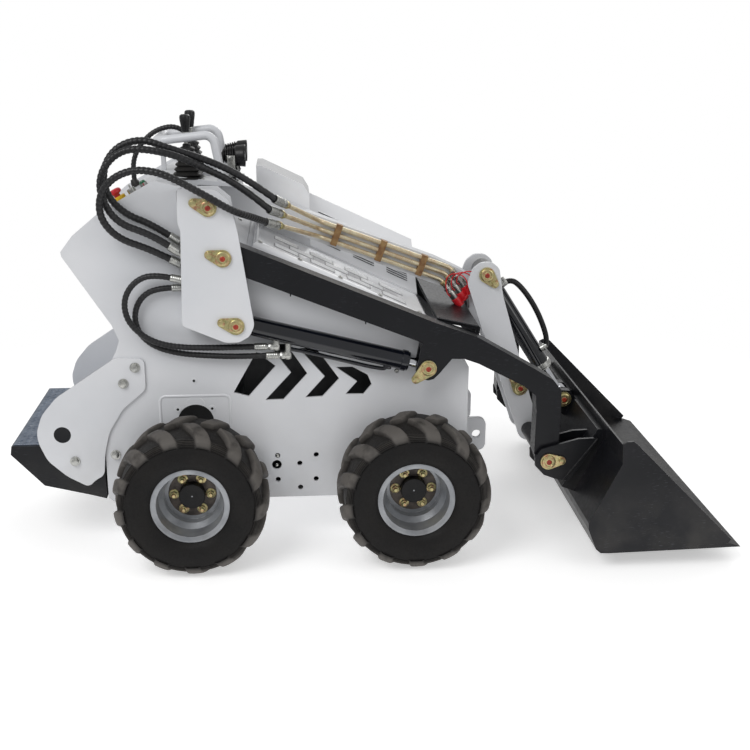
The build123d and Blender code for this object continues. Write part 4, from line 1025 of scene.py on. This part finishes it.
def rounded_plate(bm, outline, face, thickness, radius):
    """A plate on both sides of the machine with its outline's corners rounded, in mm."""
    for side in (-1, 1):
        start = len(bm.faces)
        skin = bm.faces.new([bm.verts.new(at(x, side * face, z)) for x, z in outline])
        bmesh.ops.bevel(bm, geom=list(skin.verts), offset=radius / 1000, offset_type="OFFSET", segments=5,
                        profile=0.5, affect="VERTICES", material=-1, clamp_overlap=True)
        bm.faces.ensure_lookup_table()
        extrude(bm, bm.faces[start:], Vector((0, -side * thickness / 1000, 0)))


def build_side_plates():
    """Rounded outlines for the arm towers, the rear side plates and the lever."""
    bm = bmesh.new()
    rounded_plate(bm, TOWER_OUTLINE, TOWER_OUT_Y, 10, 26)
    for side in (-1, 1):
        for web in TOWER_WEBS:
            prism(bm, [at(x, side * CHASSIS_OUT_Y, z) for x, z in web], Vector((0, side * 0.071, 0)), 0, 0.8)
    piece("tower_plates", bm, ["powder_coat_white"], "chassis", ["arm_towers"])
    bm = bmesh.new()
    rounded_plate(bm, REAR_PLATE, REAR_PLATE_OUT_Y, 8, 46)
    for side in (-1, 1):
        # A black disc stands for a hole in each rear plate: the black platform seen through it, and painted shade
        # inside it
        lathe(bm, at(-393, side * (REAR_PLATE_OUT_Y - SUNK), 372), LEFT * side,
              [(0, 0), (0.5, 0), (0.5, 24), (0.8, 25), (0, 26)], 1, 48)
    piece("rear_plates", bm, ["powder_coat_white", "satin_paint_black"], "chassis", ["rear_side_plates"])
    bm = bmesh.new()
    rounded_plate(bm, LEVER_OUTLINE, LEVER_OUT_Y, 12, 30)
    piece("lever_looks", bm, ["powder_coat_white"], "lever", ["lever_plates"])


def build_bay_cover():
    """Bent sheet that closes the bay between the console and the sloped deck, with its fixing screws."""
    bm = bmesh.new()
    loft(bm, [[at(x, -277, z), at(x, 277, z), at(x + 2, 277, z - 3.4), at(x + 2, -277, z - 3.4)]
              for x, z in ((16, 1052), (30, 1036), (62, 1000), (150, 942), (172, 931))])
    for y in (-262, -130, 130, 262):
        for x, z in ((56, 1006.7), (140, 948.6)):
            lathe(bm, at(x, y, z) + Vector((0, 0, -0.0004)), Vector((0.55, 0, 0.835)),
                  [(0, 8), (1.4, 8), (4, 5), (4.6, 0)], 1, 20)
    piece("bay_cover", bm, ["powder_coat_white", "bright_zinc_plate"], "chassis")


def build_side_press():
    """Pressed rectangular ridge on each side plate above the rear wheel, and rubber plugs in the small holes."""
    ridge, plugs = bmesh.new(), bmesh.new()
    for side in (-1, 1):
        loops = []
        for i, (x, z) in enumerate(SIDE_RIDGE):
            across = square_to(line_way(SIDE_RIDGE[max(i - 1, 0)], SIDE_RIDGE[min(i + 1, len(SIDE_RIDGE) - 1)]))
            spot = at(x, side * (CHASSIS_OUT_Y - SUNK), z)
            loops.append([spot + across * wide / 1000 + Vector((0, side * rise / 1000, 0)) for wide, rise in
                          ((-5, 0), (-3.6, 1.4), (-1.6, 2.6), (1.6, 2.6), (3.6, 1.4), (5, 0))])
        loft(ridge, loops)
        for x, z, radius in ((57, 444, 9), (-46, 443, 9), (6, 533, 7)):
            lathe(plugs, at(x, side * 284, z), LEFT * side,
                  [(0, radius - 1), (2, radius - 1), (2, radius + 2), (3, radius + 1.6), (3.2, 4.2)], 0, 24)
            # Dark dot of painted shade in each plug's open middle
            lathe(plugs, at(x, side * 286.9, z), LEFT * side, [(0, 4.2), (0.3, 4.2), (0.3, 0)], 1, 20)
        lathe(plugs, at(7, side * 285, 453), LEFT * side, [(0, 27), (1.2, 30), (1.8, 29.6), (1.8, 0)], 0, 40)
        # Dark disc of painted shade where a larger hole shows below the cover
        lathe(plugs, at(7, side * 286.6, 404), LEFT * side,
              [(0, 54), (0.9, 54), (1.6, 52), (0.6, 50), (0.6, 0)], 1, 56)
    piece("side_press_ridge", ridge, ["powder_coat_white"], "chassis", angle=50.0)
    piece("side_plugs", plugs, ["powder_coat_white", "painted_shade_dark"], "chassis")


# Stage


def build_stage():
    """Pale floor, soft lights, white background and the camera of the photograph."""
    scene = bpy.context.scene
    scene.view_settings.view_transform = "Standard"
    bm = bmesh.new()
    bmesh.ops.create_grid(bm, x_segments=1, y_segments=1, size=30)
    mesh = bpy.data.meshes.new("floor")
    bm.to_mesh(mesh)
    bm.free()
    floor = bpy.data.objects.new("floor", mesh)
    scene.collection.objects.link(floor)
    paper = surface("matt_floor", "#F4F4F4", "#F0F0F0", (0.8, 0.95), mottle=2.0)
    # Lit from within so that it reads white, and fading into the white background away from the machine
    tree = paper.node_tree
    shader = tree.nodes["Principled BSDF"]
    shader.inputs["Emission Color"].default_value = (1.0, 1.0, 1.0, 1.0)
    shader.inputs["Emission Strength"].default_value = 0.42
    shader.inputs["Specular IOR Level"].default_value = 0.0
    place = node(tree, "ShaderNodeTexCoord").outputs["Object"]
    away = node(tree, "ShaderNodeVectorMath", {"operation": "LENGTH"}, {0: place}).outputs["Value"]
    clear = node(tree, "ShaderNodeBsdfTransparent").outputs[0]
    faded = node(tree, "ShaderNodeMixShader", None, {0: spread(tree, away, 1.3, 2.6), 1: shader.outputs[0],
                                                     2: clear}).outputs[0]
    tree.links.new(faded, tree.nodes["Material Output"].inputs["Surface"])
    mesh.materials.append(paper)

    world = bpy.data.worlds.new("studio")
    scene.world = world
    world.use_nodes = True
    tree = world.node_tree
    tree.nodes.clear()
    path = node(tree, "ShaderNodeLightPath")
    seen = larger(tree, path.outputs["Is Camera Ray"], path.outputs["Is Transmission Ray"])
    soft, white = (node(tree, "ShaderNodeBackground", None, {"Color": (1.0, 1.0, 1.0, 1.0), "Strength": power}
                        ).outputs[0] for power in (0.5, 1.0))
    both = node(tree, "ShaderNodeMixShader", None, {0: seen, 1: soft, 2: white}).outputs[0]
    tree.links.new(both, node(tree, "ShaderNodeOutputWorld").inputs["Surface"])

    for name, spot, target, size, power in (
            ("key", (-2.6, -3.4, 4.2), (0, 0, 0.5), 3.0, 125),
            ("front", (3.6, -3.0, 2.2), (0.2, 0, 0.5), 2.6, 30),
            ("back", (1.2, 3.6, 3.4), (0, 0, 0.6), 3.0, 60)):
        light = bpy.data.lights.new(name, "AREA")
        light.shape = "DISK"
        light.size = size
        light.energy = power
        lamp = bpy.data.objects.new(name, light)
        lamp.location = spot
        lamp.rotation_euler = (Vector(target) - Vector(spot)).to_track_quat("-Z", "Y").to_euler()
        scene.collection.objects.link(lamp)

    yaw, pitch, roll = (math.radians(angle) for angle in CAMERA_TURN)
    ahead = Vector((math.sin(yaw) * math.cos(pitch), math.cos(yaw) * math.cos(pitch), -math.sin(pitch)))
    right = ahead.cross(UP).normalized()
    up = right.cross(ahead)
    turned = right * math.cos(roll) + up * math.sin(roll)
    above = up * math.cos(roll) - right * math.sin(roll)
    data = bpy.data.cameras.new("camera")
    data.sensor_width = 36.0
    data.lens = FOCAL_PIXELS * data.sensor_width / PHOTO_WIDTH
    camera = bpy.data.objects.new("camera", data)
    basis = Matrix((turned, above, -ahead)).transposed().to_4x4()
    camera.matrix_world = Matrix.Translation(CAMERA_SPOT) @ basis
    scene.collection.objects.link(camera)
    scene.camera = camera


# Add-on


def colour_setting(name, description, code):
    """A colour property whose default is an sRGB hex code."""
    return bpy.props.FloatVectorProperty(name=name, description=description, subtype="COLOR", size=3, min=0, max=1,
                                         default=linear(code)[:3])


def length_setting(name, description, default, high):
    """A length property in metres, 10 mm or more."""
    return bpy.props.FloatProperty(name=name, description=description, default=default, min=0.01, max=high,
                                   subtype="DISTANCE", unit="LENGTH")


class LoaderLooks(bpy.types.PropertyGroup):
    """Sizes and colours that the pieces read."""

    body_colour: colour_setting("Body colour", "Powder coat of the frame", "#D6D7DA")
    arm_colour: colour_setting("Arm colour", "Paint of the arms and the bucket", "#0E0F13")
    rubber_colour: colour_setting("Rubber colour", "Rubber of the tyres", "#0E0D0D")
    dust_colour: colour_setting("Dust colour", "Dust and dried soil low on the paint", "#9A948A")
    hose_diameter: length_setting("Hose diameter", "Outside of the upper hoses' guard", 0.021, 0.03)
    lozenge_pitch: length_setting("Tread pitch", "Distance between lozenges of the tread sheet", 0.0181, 0.05)
    lug_count: bpy.props.IntProperty(
        name="Lugs a side", description="Lugs on each side of a tyre", default=13, min=8, max=24)


def build_step(name, label, text, *builders):
    """An operator class that runs builders in order. The text is its tooltip."""

    def execute(self, context):
        for build in builders:
            build()
        return {"FINISHED"}

    return type("LOADER_OT_" + name, (bpy.types.Operator,),
                {"__doc__": text, "bl_idname": "loader." + name, "bl_label": label, "execute": execute})


STEPS = (
    build_step("materials", "Materials", "Make the finishes and put them on the CAD nodes",
               make_materials, dress_nodes),
    build_step("wheels", "Wheels", "Build the lugged tyres and the wheel hardware",
               build_tyres, build_wheel_hardware),
    build_step("hydraulics", "Hydraulics", "Build the hoses, their ends, the cylinder fittings and the couplers",
               build_hoses, build_tilt_fittings, build_couplers),
    build_step("fasteners", "Fasteners and welds", "Build the keeper hardware, bolts and welds",
               build_keepers, build_bolts, build_welds),
    build_step("body", "Body details", "Build the louvres, tread, side ridge, rounded plates and bay cover",
               build_louvres, build_tread, build_side_press, build_side_plates, build_bay_cover),
    build_step("controls", "Controls", "Build the boots, levers, panel controls and lamps",
               build_controls, build_lamps),
    build_step("stage", "Stage", "Build the floor, the lights, the background and the camera", build_stage),
)


class LOADER_PT_panel(bpy.types.Panel):
    """Lists the loader's sizes, colours and build steps"""

    bl_idname = "LOADER_PT_panel"
    bl_label = "Loader"
    bl_space_type = "VIEW_3D"
    bl_region_type = "UI"
    bl_category = "Loader"

    def draw(self, context):
        looks = context.scene.loader_looks
        for name in LoaderLooks.__annotations__:
            self.layout.prop(looks, name)
        for step in STEPS:
            self.layout.operator(step.bl_idname)


CLASSES = (LoaderLooks, *STEPS, LOADER_PT_panel)


def register():
    """Add the classes and the scene's settings."""
    for item in CLASSES:
        bpy.utils.register_class(item)
    bpy.types.Scene.loader_looks = bpy.props.PointerProperty(type=LoaderLooks)


def unregister():
    """Take the classes and the scene's settings away."""
    del bpy.types.Scene.loader_looks
    for item in reversed(CLASSES):
        bpy.utils.unregister_class(item)


def main():
    """Build everything in order and note the sizes before and after."""
    register()
    bpy.ops.loader.materials()
    bpy.ops.loader.wheels()
    bpy.ops.loader.hydraulics()
    bpy.ops.loader.fasteners()
    bpy.ops.loader.body()
    bpy.ops.loader.controls()
    bpy.ops.loader.stage()


if __name__ == "__main__":
    main()
